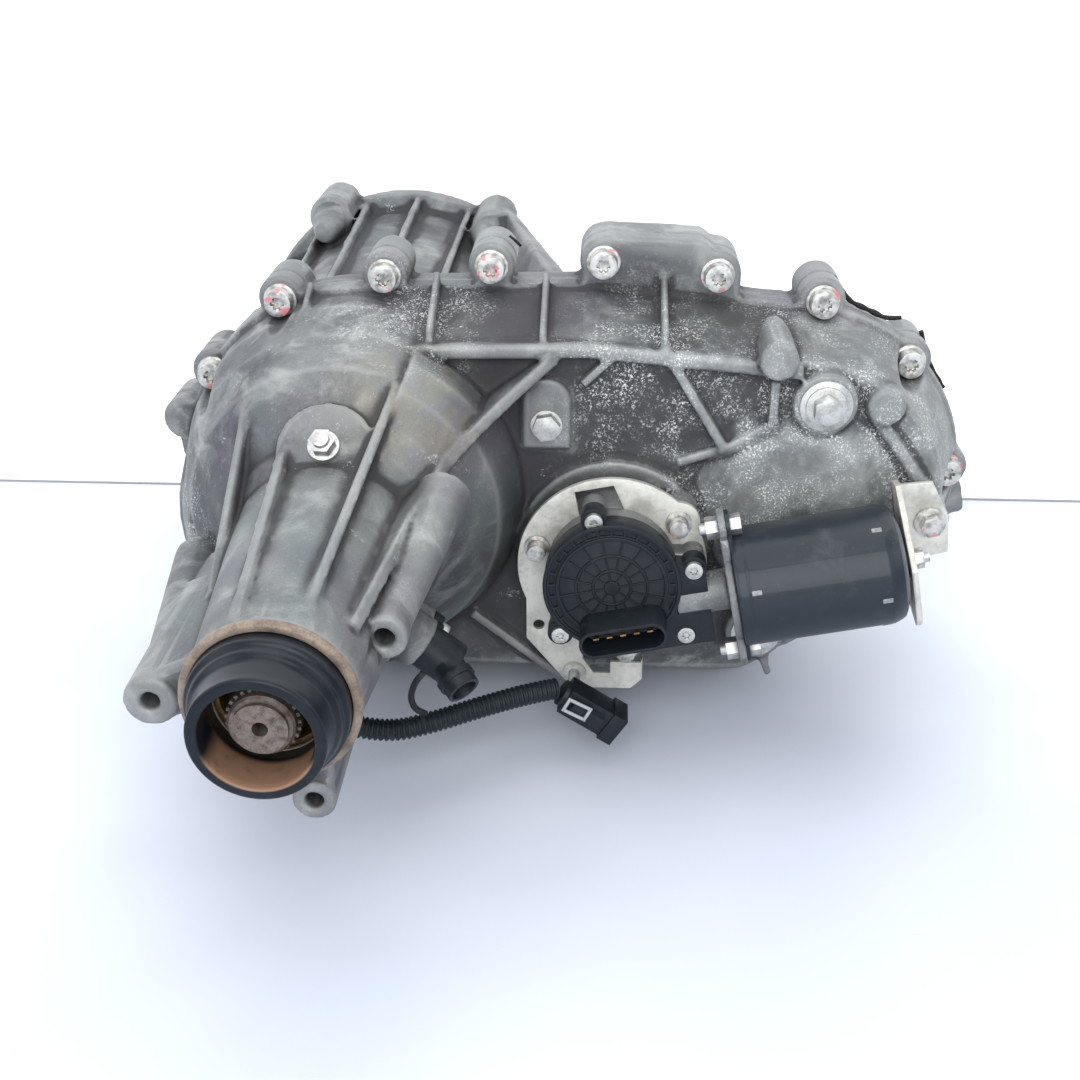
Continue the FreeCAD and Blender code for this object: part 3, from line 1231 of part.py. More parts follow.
def make_motor_can():
    """Drawn steel can of the shift motor with its mounting plate."""
    end = motor_start + motor_length
    profile = [(0, motor_start), (motor_radius, motor_start), (motor_radius, end - 8), (motor_radius - 2.5, end - 2.5),
               (motor_radius - 8, end), (9, end), (9, end + 2.6), (0, end + 2.6)]
    corners = [V(u, radius, 0) for radius, u in profile]
    body = Part.Face(Part.makePolygon(corners + corners[:1])).revolve(V(0, 0, 0), V(1, 0, 0), 360)
    body.translate(V(0, worm_y, -worm_centre))
    plate_top = motor_bolt_offset + 7
    plate = Part.makeBox(2, 26, 2 * plate_top - 16, V(motor_start - 0.5, worm_y - 13, -worm_centre - plate_top + 8))
    ends = [along_motor(8, motor_start - 0.5, motor_start + 1.5, side * motor_bolt_offset) for side in (1, -1)]
    solid = fuse([body, plate] + ends)
    room = [along_motor(motor_radius - 4, motor_start + 1.5, end - 6), along_motor(3.0 + running_gap, motor_start - 2, end - 5.5)]
    holes = [along_motor(3.1, motor_start - 2, motor_start + 3, side * motor_bolt_offset) for side in (1, -1)]
    stud = [along_motor(2.5 + seat_gap, end - 3, end + 4)]
    return at_unit(cut(solid, room + holes + stud))


def make_motor_flange_fasteners():
    """Two hexagon bolts with nuts that hold the motor to the gear housing."""
    solids = []
    outer = motor_start + 1.5
    for side in (1, -1):
        w = side * motor_bolt_offset
        bolt = fuse([motor_hexagon(9.5, outer, outer + 5.5, w), along_motor(3.0, motor_flange_start - 9, outer + 1, w)])
        nut = motor_hexagon(10.0, motor_flange_start - 6, motor_flange_start, w).cut(
            along_motor(3.0 + seat_gap, motor_flange_start - 8, motor_flange_start + 1, w))
        solids += [bolt, nut]
    return at_unit(Part.makeCompound(solids))


bracket_sheet = 3.0
bracket_leg_u = motor_start + motor_length + 2.6


def make_motor_bracket():
    """Bent bracket from the motor's end to the case."""
    seat = bracket_seat_y
    u0 = bracket_leg_u
    u1 = u0 + bracket_sheet
    face = prism([(u0, 14), (u0 + 20, 12), (u0 + 26, -8), (u0 + 24, -28), (u0 + 8, -29), (u0, -22)], seat - bracket_sheet, seat)
    leg_points = [(seat, 16), (seat, -22), (worm_y + 4, -46), (worm_y - 8, -50), (worm_y - 14, -44), (worm_y - 14, -worm_centre),
                  (seat - 12, 18)]
    corners = [V(u0, y, w) for y, w in leg_points]
    leg = Part.Face(Part.makePolygon(corners + corners[:1])).extrude(V(u1 - u0, 0, 0))
    solid = fuse([face, leg])
    hole = cylinder(bolt_radius + 0.4, seat - 10, seat + 5, bracket_u, bracket_w)
    stud_hole = along_motor(2.9, u0 - 2, u1 + 2)
    return at_unit(cut(solid, [hole, stud_hole]))


def make_bracket_fasteners():
    """Flange bolt into the case, and the stud and nut at the motor's end."""
    seat = bracket_seat_y - bracket_sheet
    bolt = fuse([cylinder(8, seat - 2, seat, bracket_u, bracket_w), hexagon(10, seat - 8, seat - 2, bracket_u, bracket_w),
                 cylinder(bolt_radius, seat, bracket_seat_y + 10, bracket_u, bracket_w)])
    u1 = bracket_leg_u + bracket_sheet
    stud = along_motor(2.5, bracket_leg_u - 5, u1 + 8)
    nut = motor_hexagon(9, u1, u1 + 5, 0).cut(along_motor(2.5 + seat_gap, u1 - 1, u1 + 7))
    return at_unit(Part.makeCompound([bolt, stud, nut]))


# ---------------------------------------------------------------- small outside pieces
def make_oil_plugs():
    """Fill and drain plugs."""
    solids = []
    for x, z in (fill_plug_place, drain_plug_place):
        seat = plug_seat_y
        solids.append(fuse([cylinder(oil_plug_head, seat - 1.6, seat, x, z), cylinder(10.2, seat - 3.2, seat - 1.6, x, z),
                            hexagon(13, seat - 10, seat - 3.2, x, z, 30), cylinder(oil_plug_radius - 2, seat, seat + 14, x, z)]))
    return Part.makeCompound(solids)


def make_locator_bolt():
    """Hexagon bolt on the arch-shaped pad."""
    x, z = locator_place
    seat = locator_seat_y
    return fuse([cylinder(8, seat - 1, seat, x, z), hexagon(12.5, seat - 6, seat - 1, x, z, 10),
                 cylinder(locator_radius, seat, seat + 8.5, x, z)])


def make_shoulder_stud():
    """Stud with its collar and nut on the dome's shoulder."""
    foot, way = shoulder_stud_frame()
    collar = Part.makeCylinder(7.4, 3.0, foot, way)
    corners = []
    across = V(0, 0, 1).cross(way).normalize()
    rise = way.cross(across)
    for step in range(6):
        angle = math.radians(60 * step)
        corners.append(foot + way * 3 + across * (6.2 * math.cos(angle)) + rise * (6.2 * math.sin(angle)))
    nut = Part.Face(Part.makePolygon(corners + corners[:1])).extrude(way * 6)
    pin = Part.makeCylinder(4.0, 21, foot - way * 9, way)
    return fuse([collar, nut, pin])


def sensor_plug_way(angle_deg):
    """Direction in which a speed sensor's connector points."""
    angle = math.radians(angle_deg)
    if angle_deg < 0:
        return V(0.75 * math.cos(angle), -0.66, 0.75 * math.sin(angle)).normalize()
    return V(-math.sin(angle), 0, math.cos(angle))


def make_speed_sensors():
    """Two speed sensors that read the tone ring, each with a side connector."""
    solids = []
    for angle in (sensor_angle_deg, rear_sensor_angle_deg):
        turn = math.radians(angle)
        foot = V(math.cos(turn), 0, math.sin(turn)) * (sensor_seat + 9.5) + V(0, sensor_y, 0)
        way = sensor_plug_way(angle)
        piece = fuse([outward(angle, tone_radius + 1.2, sensor_seat + 1, sensor_y, sensor_barrel),
                      outward(angle, sensor_seat, sensor_seat + 18, sensor_y, 11),
                      outward(angle, sensor_seat, sensor_seat + 5, sensor_y + sensor_bolt_offset, 7.5),
                      outward(angle, sensor_seat, sensor_seat + 5, sensor_y + sensor_bolt_offset / 2, 8.5),
                      Part.makeCylinder(8.2, 22, foot, way), Part.makeCylinder(9.2, 4, foot + way * 13, way)])
        socket = Part.makeCylinder(6.4, 14, foot + way * 13, way)
        hole = outward(angle, sensor_seat - 1, sensor_seat + 6, sensor_y + sensor_bolt_offset, 3.1)
        solids.append(cut(piece, [socket, hole]))
    return Part.makeCompound(solids)


def make_speed_sensor_bolts():
    """One bolt for each speed sensor."""
    solids = []
    for angle in (sensor_angle_deg, rear_sensor_angle_deg):
        y = sensor_y + sensor_bolt_offset
        solids.append(fuse([outward(angle, sensor_seat + 5, sensor_seat + 10, y, 5.2),
                            outward(angle, sensor_seat - 8, sensor_seat + 5, y, 3.0)]))
    return Part.makeCompound(solids)


def make_extension_bushing():
    """Bushing that guides the slip yoke."""
    return ring(bushing_outer, bushing_inner, -229.5, extension_end_y + 2)


def make_seal_retainer_ring():
    """Pressed ring round the end of the extension."""
    end = extension_end_y
    return turned([(bushing_inner + 1, end - 0.02), (35.6, end - 0.02), (36.6, end - 1.2), (36.6, end - 3.6), (35.6, end - 5),
                   (33, end - 5), (33, end - 2.2), (bushing_inner + 1, end - 2.2)])


def make_dust_boot():
    """Stepped rubber boot behind the output end."""
    back = extension_end_y - 2.24
    lip = back - boot_length
    return turned([(bushing_inner + 1.5, back), (boot_radius, back), (boot_radius, back - 9),
                   (boot_radius - 1.4, back - 12), (boot_radius - 4.4, back - 15), (boot_radius - 5.4, lip + 1.5),
                   (boot_radius - 6.2, lip), (boot_radius - 10.2, lip), (boot_radius - 10.6, lip + 1.5),
                   (boot_radius - 10.2, back - 10), (bushing_inner + 1.5, back - 6)])


def make_shaft_seals():
    """Lip seals of the input and of the front output."""
    input_y = input_bearing_y + input_bearing_width + 6
    first = turned([(25.06, input_y), (input_bearing_outer, input_y), (input_bearing_outer, input_y + 6), (27, input_y + 6),
                    (27, input_y + 3), (25.06, input_y + 3)])
    front_end = front_front_bearing_y + front_bearing_width
    x = centre_distance
    second = turned([(23.06, front_end + 6), (front_bearing_outer, front_end + 6), (front_bearing_outer, front_end + 13),
                     (25, front_end + 13), (25, front_end + 9), (23.06, front_end + 9)], x, 0)
    return Part.makeCompound([first, second])


def make_snap_rings():
    """Snap rings of the input bearing, the ring gear and the front output bearing."""
    def split_ring(outer, inner, y0, width, x, z):
        gap = Part.makeBox(outer * 2, 50, 8, V(x, y0 - 20, z - 4))
        return ring(outer, inner, y0, y0 + width, x, z).cut(gap)
    input_end = input_bearing_y + input_bearing_width
    front_end = front_front_bearing_y + front_bearing_width
    return Part.makeCompound([
        split_ring(input_bearing_outer, input_bearing_outer - 5, input_end + 0.1, 2.2, 0, 0),
        split_ring(ring_gear_outer, ring_gear_outer - 4, gearset_y - 2.3, 2.2, 0, 0),
        split_ring(front_bearing_outer, front_bearing_outer - 4, front_end + 0.1, 2.2, centre_distance, 0)])


def make_front_output_bearings():
    """Two ball bearings of the front output shaft."""
    rear = ball_bearing(front_bearing_outer - 5, 15 + seat_gap, front_rear_bearing_y - 3.5, 13, centre_distance, 0, 9)
    front = ball_bearing(front_bearing_outer, front_shaft_radius + seat_gap, front_front_bearing_y, front_bearing_width,
                         centre_distance, 0, 9)
    return Part.makeCompound([rear, front])


def make_oil_pickup_tube():
    """Suction tube from the screen in the sump to the passage in the rear wall."""
    x, z = pickup_place
    floor = case_floor_z + sump_floor_thickness
    screen = Part.makeBox(40, 26, 8, V(x - 2, -28, floor + 0.3))
    route = [V(x, -14, floor + 7), V(x, -14, z), V(x, rear_cavity_y - 4.5, z)]
    return screen.fuse(cord_tube(route, pickup_radius))


def make_sump_magnet():
    """Magnet that catches chips on the sump floor."""
    return ring(12, 5, -22, -14, 150, case_floor_z + sump_floor_thickness + 12.2)


# ---------------------------------------------------------------- harness
loom_radius = 5.6
lead_radius = 1.6
connector_depth = 14.0
connector_dip_deg = 33.0
clip_place = (116.0, -94.0)
loom_points = [V(107, -106, -85.5), V(92, -114, -84.5), V(71, -126, -84.5), V(49, -138, -86), V(30, -146, -87),
               V(11, -150, -82.5), V(-6.69, -148, -74.08), V(-22.28, -148, -65.08)]
lead_points = [V(46.36, -148, -50.31), V(40.8, -148.5, -57.4), V(38.5, -148, -66), V(40, -145.5, -74),
               V(44.5, -141, -79.6)]


def cord_arcs(points):
    """Radius at each inner point of a route: 0.45 of the shorter run over the tangent of half the turn."""
    arcs = []
    for before, corner, after in zip(points, points[1:], points[2:]):
        into = corner - before
        out = after - corner
        half = into.getAngle(out) / 2
        arcs.append(0.45 * min(into.Length, out.Length) / math.tan(half))
    return arcs


def cord_path(points):
    """Straight runs joined by tangent arcs."""
    edges = []
    start = points[0]
    for radius, before, corner, after in zip(cord_arcs(points), points, points[1:], points[2:]):
        into = (corner - before).normalize()
        out = (after - corner).normalize()
        half = into.getAngle(out) / 2
        back = radius * math.tan(half)
        first = corner - into * back
        last = corner + out * back
        inward = (out - into).normalize()
        middle = corner + inward * (radius / math.cos(half) - radius)
        edges.append(Part.LineSegment(start, first).toShape())
        edges.append(Part.Arc(first, middle, last).toShape())
        start = last
    edges.append(Part.LineSegment(start, points[-1]).toShape())
    return Part.Wire(edges)


def cord_tube(points, radius):
    """Round tube along a route of runs and arcs."""
    path = cord_path(points)
    way = (points[1] - points[0]).normalize()
    section = Part.Wire([Part.Circle(points[0], way, radius).toShape()])
    return path.makePipeShell([section], True, True)


def report_cord(name, points, radius, tube):
    """Print the arcs of a cord and compare its volume with section times length."""
    length = cord_path(points).Length
    expected = math.pi * radius * radius * length
    print(name, "length %.1f" % length, "radii", ["%.0f" % arc for arc in cord_arcs(points)],
          "volume ratio %.4f" % (tube.Volume / expected))


def make_harness_connector():
    """Connector at the loom's near end, held by the clip under the encoder plate."""
    half = connector_depth / 2
    body = Part.makeBox(26, connector_depth, 15, V(6, -half, -7.5))
    nose = Part.makeBox(8, connector_depth + 3, 17, V(31, -half - 1.5, -8.5))
    neck = Part.makeCylinder(loom_radius + 1.4, 5, V(3.65, 0, 0), V(1, 0, 0))
    latch = Part.makeBox(18, 4, 7, V(10, -half - 3, -3.5))
    solid = cut(fuse([body, nose, neck, latch]), [Part.makeBox(9, 11, 12, V(31, -5.5, -6))])
    solid.rotate(V(0, 0, 0), Y_AXIS, connector_dip_deg)
    solid.translate(loom_points[0])
    return solid


def make_harness_clip():
    """Push clip from the plate's lower hole to the back of the connector."""
    x, z = clip_place
    front = encoder_plate_y - encoder_plate_thickness
    back = loom_points[0].y + connector_depth / 2 + 0.02
    return fuse([cylinder(2.9, front - 1, encoder_plate_y + 1, x, z), cylinder(6, front - 2.5, front - 0.02, x, z),
                 cylinder(3.2, back, front - 1, x, z), cylinder(5.5, back, back + 2, x, z)])


# ---------------------------------------------------------------- build
def main():
    """Build and save every piece."""
    makers = {
        "rear_case_half": make_rear_case_half, "front_case_half": make_front_case_half,
        "case_sealant": make_case_sealant, "case_bolts": make_case_bolts, "case_dowels": make_case_dowels,
        "input_shaft": make_input_shaft, "ring_gear": make_ring_gear, "planet_carrier": make_planet_carrier,
        "planet_pins": make_planet_pins, "range_sleeve": make_range_sleeve, "mainshaft": make_mainshaft,
        "shaft_end_plug": make_shaft_end_plug, "drive_sprocket": make_drive_sprocket, "clutch_hub": make_clutch_hub,
        "clutch_plates": make_clutch_plates, "tone_ring": make_tone_ring, "oil_pump_housing": make_oil_pump_housing,
        "pump_rotor": make_pump_rotor, "drive_chain": make_drive_chain, "front_output_shaft": make_front_output_shaft,
        "driven_sprocket": make_driven_sprocket, "front_output_flange": make_front_output_flange,
        "flange_nut": make_flange_nut, "range_fork": make_range_fork, "shift_rail": make_shift_rail,
        "sector_shaft": make_sector_shaft, "motor_armature": make_motor_armature,
        "encoder_plate": make_encoder_plate, "encoder_plate_bolts": make_encoder_plate_bolts,
        "gear_housing": make_gear_housing, "sensor_cover": make_sensor_cover,
        "sensor_cover_screws": make_sensor_cover_screws, "connector_pins": make_connector_pins,
        "motor_can": make_motor_can, "motor_flange_fasteners": make_motor_flange_fasteners,
        "motor_bracket": make_motor_bracket, "bracket_fasteners": make_bracket_fasteners, "oil_plugs": make_oil_plugs,
        "locator_bolt": make_locator_bolt, "shoulder_stud": make_shoulder_stud, "speed_sensors": make_speed_sensors,
        "speed_sensor_bolts": make_speed_sensor_bolts, "extension_bushing": make_extension_bushing,
        "seal_retainer_ring": make_seal_retainer_ring, "dust_boot": make_dust_boot, "shaft_seals": make_shaft_seals,
        "snap_rings": make_snap_rings, "front_output_bearings": make_front_output_bearings,
        "oil_pickup_tube": make_oil_pickup_tube, "sump_magnet": make_sump_magnet,
        "harness_connector": make_harness_connector, "harness_clip": make_harness_clip,
    }
    for name, maker in makers.items():
        save(name, maker())
    for index in range(planet_count):
        save("planet_gear_%d" % (index + 1), make_planet_gear(index))
    save("input_bearing", ball_bearing(input_bearing_outer, input_bearing_bore + seat_gap, input_bearing_y,
                                       input_bearing_width, balls=12))
    save("rear_output_bearing", ball_bearing(main_bearing_outer, main_bearing_bore + seat_gap, main_bearing_y,
                                             main_bearing_width, balls=11))
    for name, points, radius in (("harness_loom", loom_points, loom_radius), ("sensor_lead", lead_points, lead_radius)):
        tube = cord_tube(points, radius)
        report_cord(name, points, radius, tube)
        save(name, tube)


main()
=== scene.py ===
import json
import math

import bmesh
import bpy
import numpy as np
from mathutils import Matrix, Vector, noise

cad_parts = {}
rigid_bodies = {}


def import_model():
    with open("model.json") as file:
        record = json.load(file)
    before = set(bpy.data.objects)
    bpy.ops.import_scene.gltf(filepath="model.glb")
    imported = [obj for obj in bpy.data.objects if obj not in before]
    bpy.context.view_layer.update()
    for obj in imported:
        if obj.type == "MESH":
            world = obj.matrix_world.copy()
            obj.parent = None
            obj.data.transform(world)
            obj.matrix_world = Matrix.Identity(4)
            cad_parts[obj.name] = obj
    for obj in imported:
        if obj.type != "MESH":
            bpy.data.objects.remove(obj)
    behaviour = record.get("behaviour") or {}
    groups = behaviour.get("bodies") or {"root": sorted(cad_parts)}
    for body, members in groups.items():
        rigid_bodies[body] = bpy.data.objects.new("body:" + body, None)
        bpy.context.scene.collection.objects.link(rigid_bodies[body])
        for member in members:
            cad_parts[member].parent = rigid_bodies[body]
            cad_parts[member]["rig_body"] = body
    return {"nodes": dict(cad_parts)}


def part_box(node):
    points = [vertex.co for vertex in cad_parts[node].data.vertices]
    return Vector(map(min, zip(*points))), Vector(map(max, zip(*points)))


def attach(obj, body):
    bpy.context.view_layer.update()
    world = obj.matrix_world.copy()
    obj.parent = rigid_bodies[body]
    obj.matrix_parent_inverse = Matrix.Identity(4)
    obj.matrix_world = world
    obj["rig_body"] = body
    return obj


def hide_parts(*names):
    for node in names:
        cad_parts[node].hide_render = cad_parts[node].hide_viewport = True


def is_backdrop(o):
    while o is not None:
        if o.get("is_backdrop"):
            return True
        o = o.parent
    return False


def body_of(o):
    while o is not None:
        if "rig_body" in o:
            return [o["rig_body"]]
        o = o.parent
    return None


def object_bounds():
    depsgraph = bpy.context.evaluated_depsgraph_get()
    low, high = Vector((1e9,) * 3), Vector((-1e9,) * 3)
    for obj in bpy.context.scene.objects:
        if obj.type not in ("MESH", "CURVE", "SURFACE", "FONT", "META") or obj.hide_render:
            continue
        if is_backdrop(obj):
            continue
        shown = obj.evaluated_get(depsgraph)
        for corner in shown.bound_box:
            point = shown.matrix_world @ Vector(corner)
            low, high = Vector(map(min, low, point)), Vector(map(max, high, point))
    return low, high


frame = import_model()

bl_info = {
    "name": "Transfer case looks",
    "version": (1, 0, 0),
    "blender": (4, 5, 0),
    "location": "View3D > Sidebar > Transfer case",
    "description": "Builds the weathered looks of a chain-drive transfer case over its CAD frame",
    "category": "Object",
}

FULL_TURN = 2 * math.pi
MERGE = 1e-6  # points nearer than this become one

# Places in metres. The main shaft runs along Y at X = Z = 0, and SPLIT_Y is the joint between the castings.
SPLIT_Y = -0.2
UNIT_CENTRE = (0.1345, SPLIT_Y, -0.03)
UNIT_TILT = math.radians(-11.7)
UNIT = Matrix.Translation(UNIT_CENTRE) @ Matrix.Rotation(UNIT_TILT, 4, "Y")

# Y of the cover's face, and Y and Z of the motor's axis, in the frame of the sensor and motor unit.
COVER_FACE = -0.099
MOTOR_AXIS = (-0.088, -0.0165)

# Route of the loom from the connector to the sensor, with Y counted from the joint.
LOOM_ROUTE = [
    (0.107, -0.106, -0.0855), (0.092, -0.114, -0.0845), (0.071, -0.126, -0.0845), (0.049, -0.138, -0.086),
    (0.030, -0.146, -0.087), (0.011, -0.150, -0.0825),
    (-0.00669, -0.148, -0.07408), (-0.02228, -0.148, -0.06508),
]

# Round marks on the castings, each a centre, a reach and a strength.
# Dark marks: the first is a painted shadow in the recess between the dome and the encoder plate, the others
# are oil stains.
OIL_STAINS_AND_SHADOW = [
    ((0.082, SPLIT_Y - 0.062, -0.022), 0.055, 1.0), ((0.02, SPLIT_Y + 0.03, 0.10), 0.07, 0.7),
    ((0.05, SPLIT_Y - 0.10, -0.045), 0.06, 0.6), ((0.10, SPLIT_Y - 0.06, 0.055), 0.03, 0.5),
]
PALE_PATCHES = [((0.25, SPLIT_Y - 0.05, -0.01), 0.11, 1.0), ((0.175, SPLIT_Y - 0.05, 0.055), 0.06, 1.0)]
OXIDE_PATCHES = [
    ((0.235, SPLIT_Y - 0.055, 0.015), 0.12, 1.0), ((0.15, SPLIT_Y - 0.05, 0.06), 0.07, 1.0),
    ((-0.09, SPLIT_Y - 0.06, -0.02), 0.075, 1.0), ((0.03, SPLIT_Y - 0.04, 0.09), 0.06, 0.7),
]

CAVITY_SPAN = 0.004  # height out of the smoothed surface over which the cavity value runs from 0 to 1
BEVEL_ANGLE = math.radians(38)  # edges sharper than this are rounded over
SHARP_ANGLE = math.radians(45)  # edges sharper than this stay sharp in the shading

# Stage and camera, in metres.
STAGE_X = 0.1
FLOOR_HALF = 1.6
FLOOR_BACK = 0.03
WALL_HALF = 2.0
WALL_Y = 0.034
WALL_SUNK = 0.01  # how far the wall reaches below the floor
JOINT_LINE_SIZE = (3.2, 0.001, 0.0016)
JOINT_LINE_Y = 0.0325
CAMERA_PLACE = (0.12747, SPLIT_Y - 0.71322, 0.30277)
CAMERA_FORWARD = (-0.0419, 0.8937, -0.4467)
CAMERA_RIGHT = (0.9989, 0.0468, 0.0)
CAMERA_SENSOR_WIDTH = 36.0  # millimetres


# ---------------------------------------------------------------- settings
class CastingSettings(bpy.types.PropertyGroup):
    """Looks of the two castings"""
    voxel: bpy.props.FloatProperty(
        name="Voxel", description="Grain of the softened casting", default=0.0013, min=0.0008, unit="LENGTH")
    smoothing: bpy.props.IntProperty(
        name="Smoothing", description="Rounds of smoothing that give the cast fillets", default=5, min=0)
    speckle: bpy.props.FloatProperty(
        name="Speckle", description="Amount of white oxide speckle",
        default=0.85, min=0.0, max=1.0, subtype="FACTOR")


class UnitSettings(bpy.types.PropertyGroup):
    """Looks of the position sensor and the shift motor"""
    spokes: bpy.props.IntProperty(
        name="Spokes", description="Moulded spokes on the sensor cover", default=16, min=3)
    spoke_height: bpy.props.FloatProperty(
        name="Spoke height", description="Height of the moulded spokes",
        default=0.0009, min=0.0001, unit="LENGTH")


class HarnessSettings(bpy.types.PropertyGroup):
    """Looks of the corrugated loom"""
    pitch: bpy.props.FloatProperty(
        name="Corrugation pitch", description="Distance between corrugations",
        default=0.0026, min=0.001, unit="LENGTH")
    depth: bpy.props.FloatProperty(
        name="Corrugation depth", description="Depth of the corrugations",
        default=0.0013, min=0.0001, unit="LENGTH")
    radius: bpy.props.FloatProperty(
        name="Loom radius", description="Outer radius of the loom", default=0.0056, min=0.001, unit="LENGTH")


class StageSettings(bpy.types.PropertyGroup):
    """Floor, wall, lights and camera"""
    key_power: bpy.props.FloatProperty(
        name="Key power", description="Power of the large overhead light", default=7.0, min=0.0, unit="POWER")
    fill_power: bpy.props.FloatProperty(
        name="Fill power", description="Power of the side fill light", default=4.5, min=0.0, unit="POWER")
    front_power: bpy.props.FloatProperty(
        name="Front power", description="Power of the broad light behind the camera",
        default=24.0, min=0.0, unit="POWER")
    lens: bpy.props.FloatProperty(
        name="Lens", description="Focal length of the camera",
        default=46.67, min=10.0, subtype="DISTANCE_CAMERA")


# ---------------------------------------------------------------- shader maths
class Field:
    """A shader socket that can be added, subtracted, multiplied, raised to a power and compared."""

    def __init__(self, graph, socket):
        self.graph = graph
        self.socket = socket

    def maths(self, operation, other, swap=False):
        """One Math node of this value and another, in that order or swapped."""
        node = self.graph.tree.nodes.new("ShaderNodeMath")
        node.operation = operation
        operands = (other, self) if swap else (self, other)
        for socket, operand in zip(node.inputs, operands):
            self.graph.feed(socket, operand)
        return Field(self.graph, node.outputs[0])

    def __add__(self, other):
        return self.maths("ADD", other)

    __radd__ = __add__

    def __sub__(self, other):
        return self.maths("SUBTRACT", other)

    def __rsub__(self, other):
        return self.maths("SUBTRACT", other, swap=True)

    def __mul__(self, other):
        return self.maths("MULTIPLY", other)

    __rmul__ = __mul__

    def __pow__(self, other):
        return self.maths("POWER", other)

    def over(self, other):
        """The larger of two values."""
        return self.maths("MAXIMUM", other)

    def step(self, low, high):
        """Smooth rise from 0 at low to 1 at high."""
        node = self.graph.node("ShaderNodeMapRange", {"Value": self, "From Min": low, "From Max": high},
                               interpolation_type="SMOOTHSTEP")
        return Field(self.graph, node.outputs["Result"])


class Graph:
    """Node tree of one material with a principled shader."""

    def __init__(self, name):
        self.material = bpy.data.materials.new(name)
        self.material.use_nodes = True
        self.tree = self.material.node_tree
        self.shader = self.tree.nodes["Principled BSDF"]
        self.place = self.node("ShaderNodeTexCoord").outputs["Object"]

    def feed(self, socket, value):
        """Link a field or socket to an input, or set the input to a constant."""
        if isinstance(value, Field):
            value = value.socket
        if isinstance(value, bpy.types.NodeSocket):
            self.tree.links.new(value, socket)
        elif hasattr(socket.default_value, "__len__") and not hasattr(value, "__len__"):
            socket.default_value = [value] * len(socket.default_value)
        elif hasattr(value, "__len__") and len(value) == 3 and len(socket.default_value) == 4:
            socket.default_value = (*value, 1.0)
        else:
            socket.default_value = value

    def node(self, kind, inputs=None, **settings):
        """A new node with its settings and inputs."""
        node = self.tree.nodes.new(kind)
        for key, value in settings.items():
            setattr(node, key, value)
        for key, value in (inputs or {}).items():
            self.feed(node.inputs[key], value)
        return node

    def moved(self, offset=(0, 0, 0), turn=(0, 0, 0), stretch=(1, 1, 1)):
        """Object coordinates about another centre, turned and stretched."""
        node = self.node("ShaderNodeMapping", {"Vector": self.place, "Rotation": turn, "Scale": stretch,
                                               "Location": offset})
        return node.outputs[0]

    def noise(self, scale, detail=3.0, roughness=0.55, where=None, distortion=0.0):
        """Noise between 0 and 1."""
        node = self.node("ShaderNodeTexNoise", {
            "Vector": where or self.place, "Scale": scale, "Detail": detail,
            "Roughness": roughness, "Distortion": distortion})
        return Field(self, node.outputs["Fac"])

    def attribute(self, name):
        """A value stored on the mesh."""
        return Field(self, self.node("ShaderNodeAttribute", attribute_name=name).outputs["Fac"])

    def axis(self, letter):
        """One object coordinate in metres."""
        return Field(self, self.node("ShaderNodeSeparateXYZ", {"Vector": self.place}).outputs[letter])

    def near(self, centre, reach):
        """1 at a point of the object, falling to 0 at a reach from it."""
        node = self.node("ShaderNodeVectorMath", {0: self.place, 1: centre}, operation="DISTANCE")
        return 1.0 - Field(self, node.outputs["Value"]).step(reach * 0.25, reach)

    def spots(self, places):
        """The strongest of several round spots, each a centre, a reach and a strength."""
        fields = [self.near(centre, reach) * strength for centre, reach, strength in places]
        strongest = fields[0]
        for field in fields[1:]:
            strongest = strongest.over(field)
        return strongest

    def mix(self, low, high, share):
        """Colour between two colours. The Mix node's sockets share their names, so they go by number."""
        node = self.node("ShaderNodeMix", data_type="RGBA")
        self.feed(node.inputs[0], share)
        self.feed(node.inputs[6], low)
        self.feed(node.inputs[7], high)
        return node.outputs[2]

    def bump(self, height, strength, distance):
        """Bump the shader's normal."""
        node = self.node("ShaderNodeBump", {"Height": height, "Strength": strength, "Distance": distance})
        self.feed(self.shader.inputs["Normal"], node.outputs[0])

    def surface(self, colour, roughness, metallic):
        """Feed the main inputs of the shader."""
        self.feed(self.shader.inputs["Base Color"], colour)
        self.feed(self.shader.inputs["Roughness"], roughness)
        self.feed(self.shader.inputs["Metallic"], metallic)
        return self.material


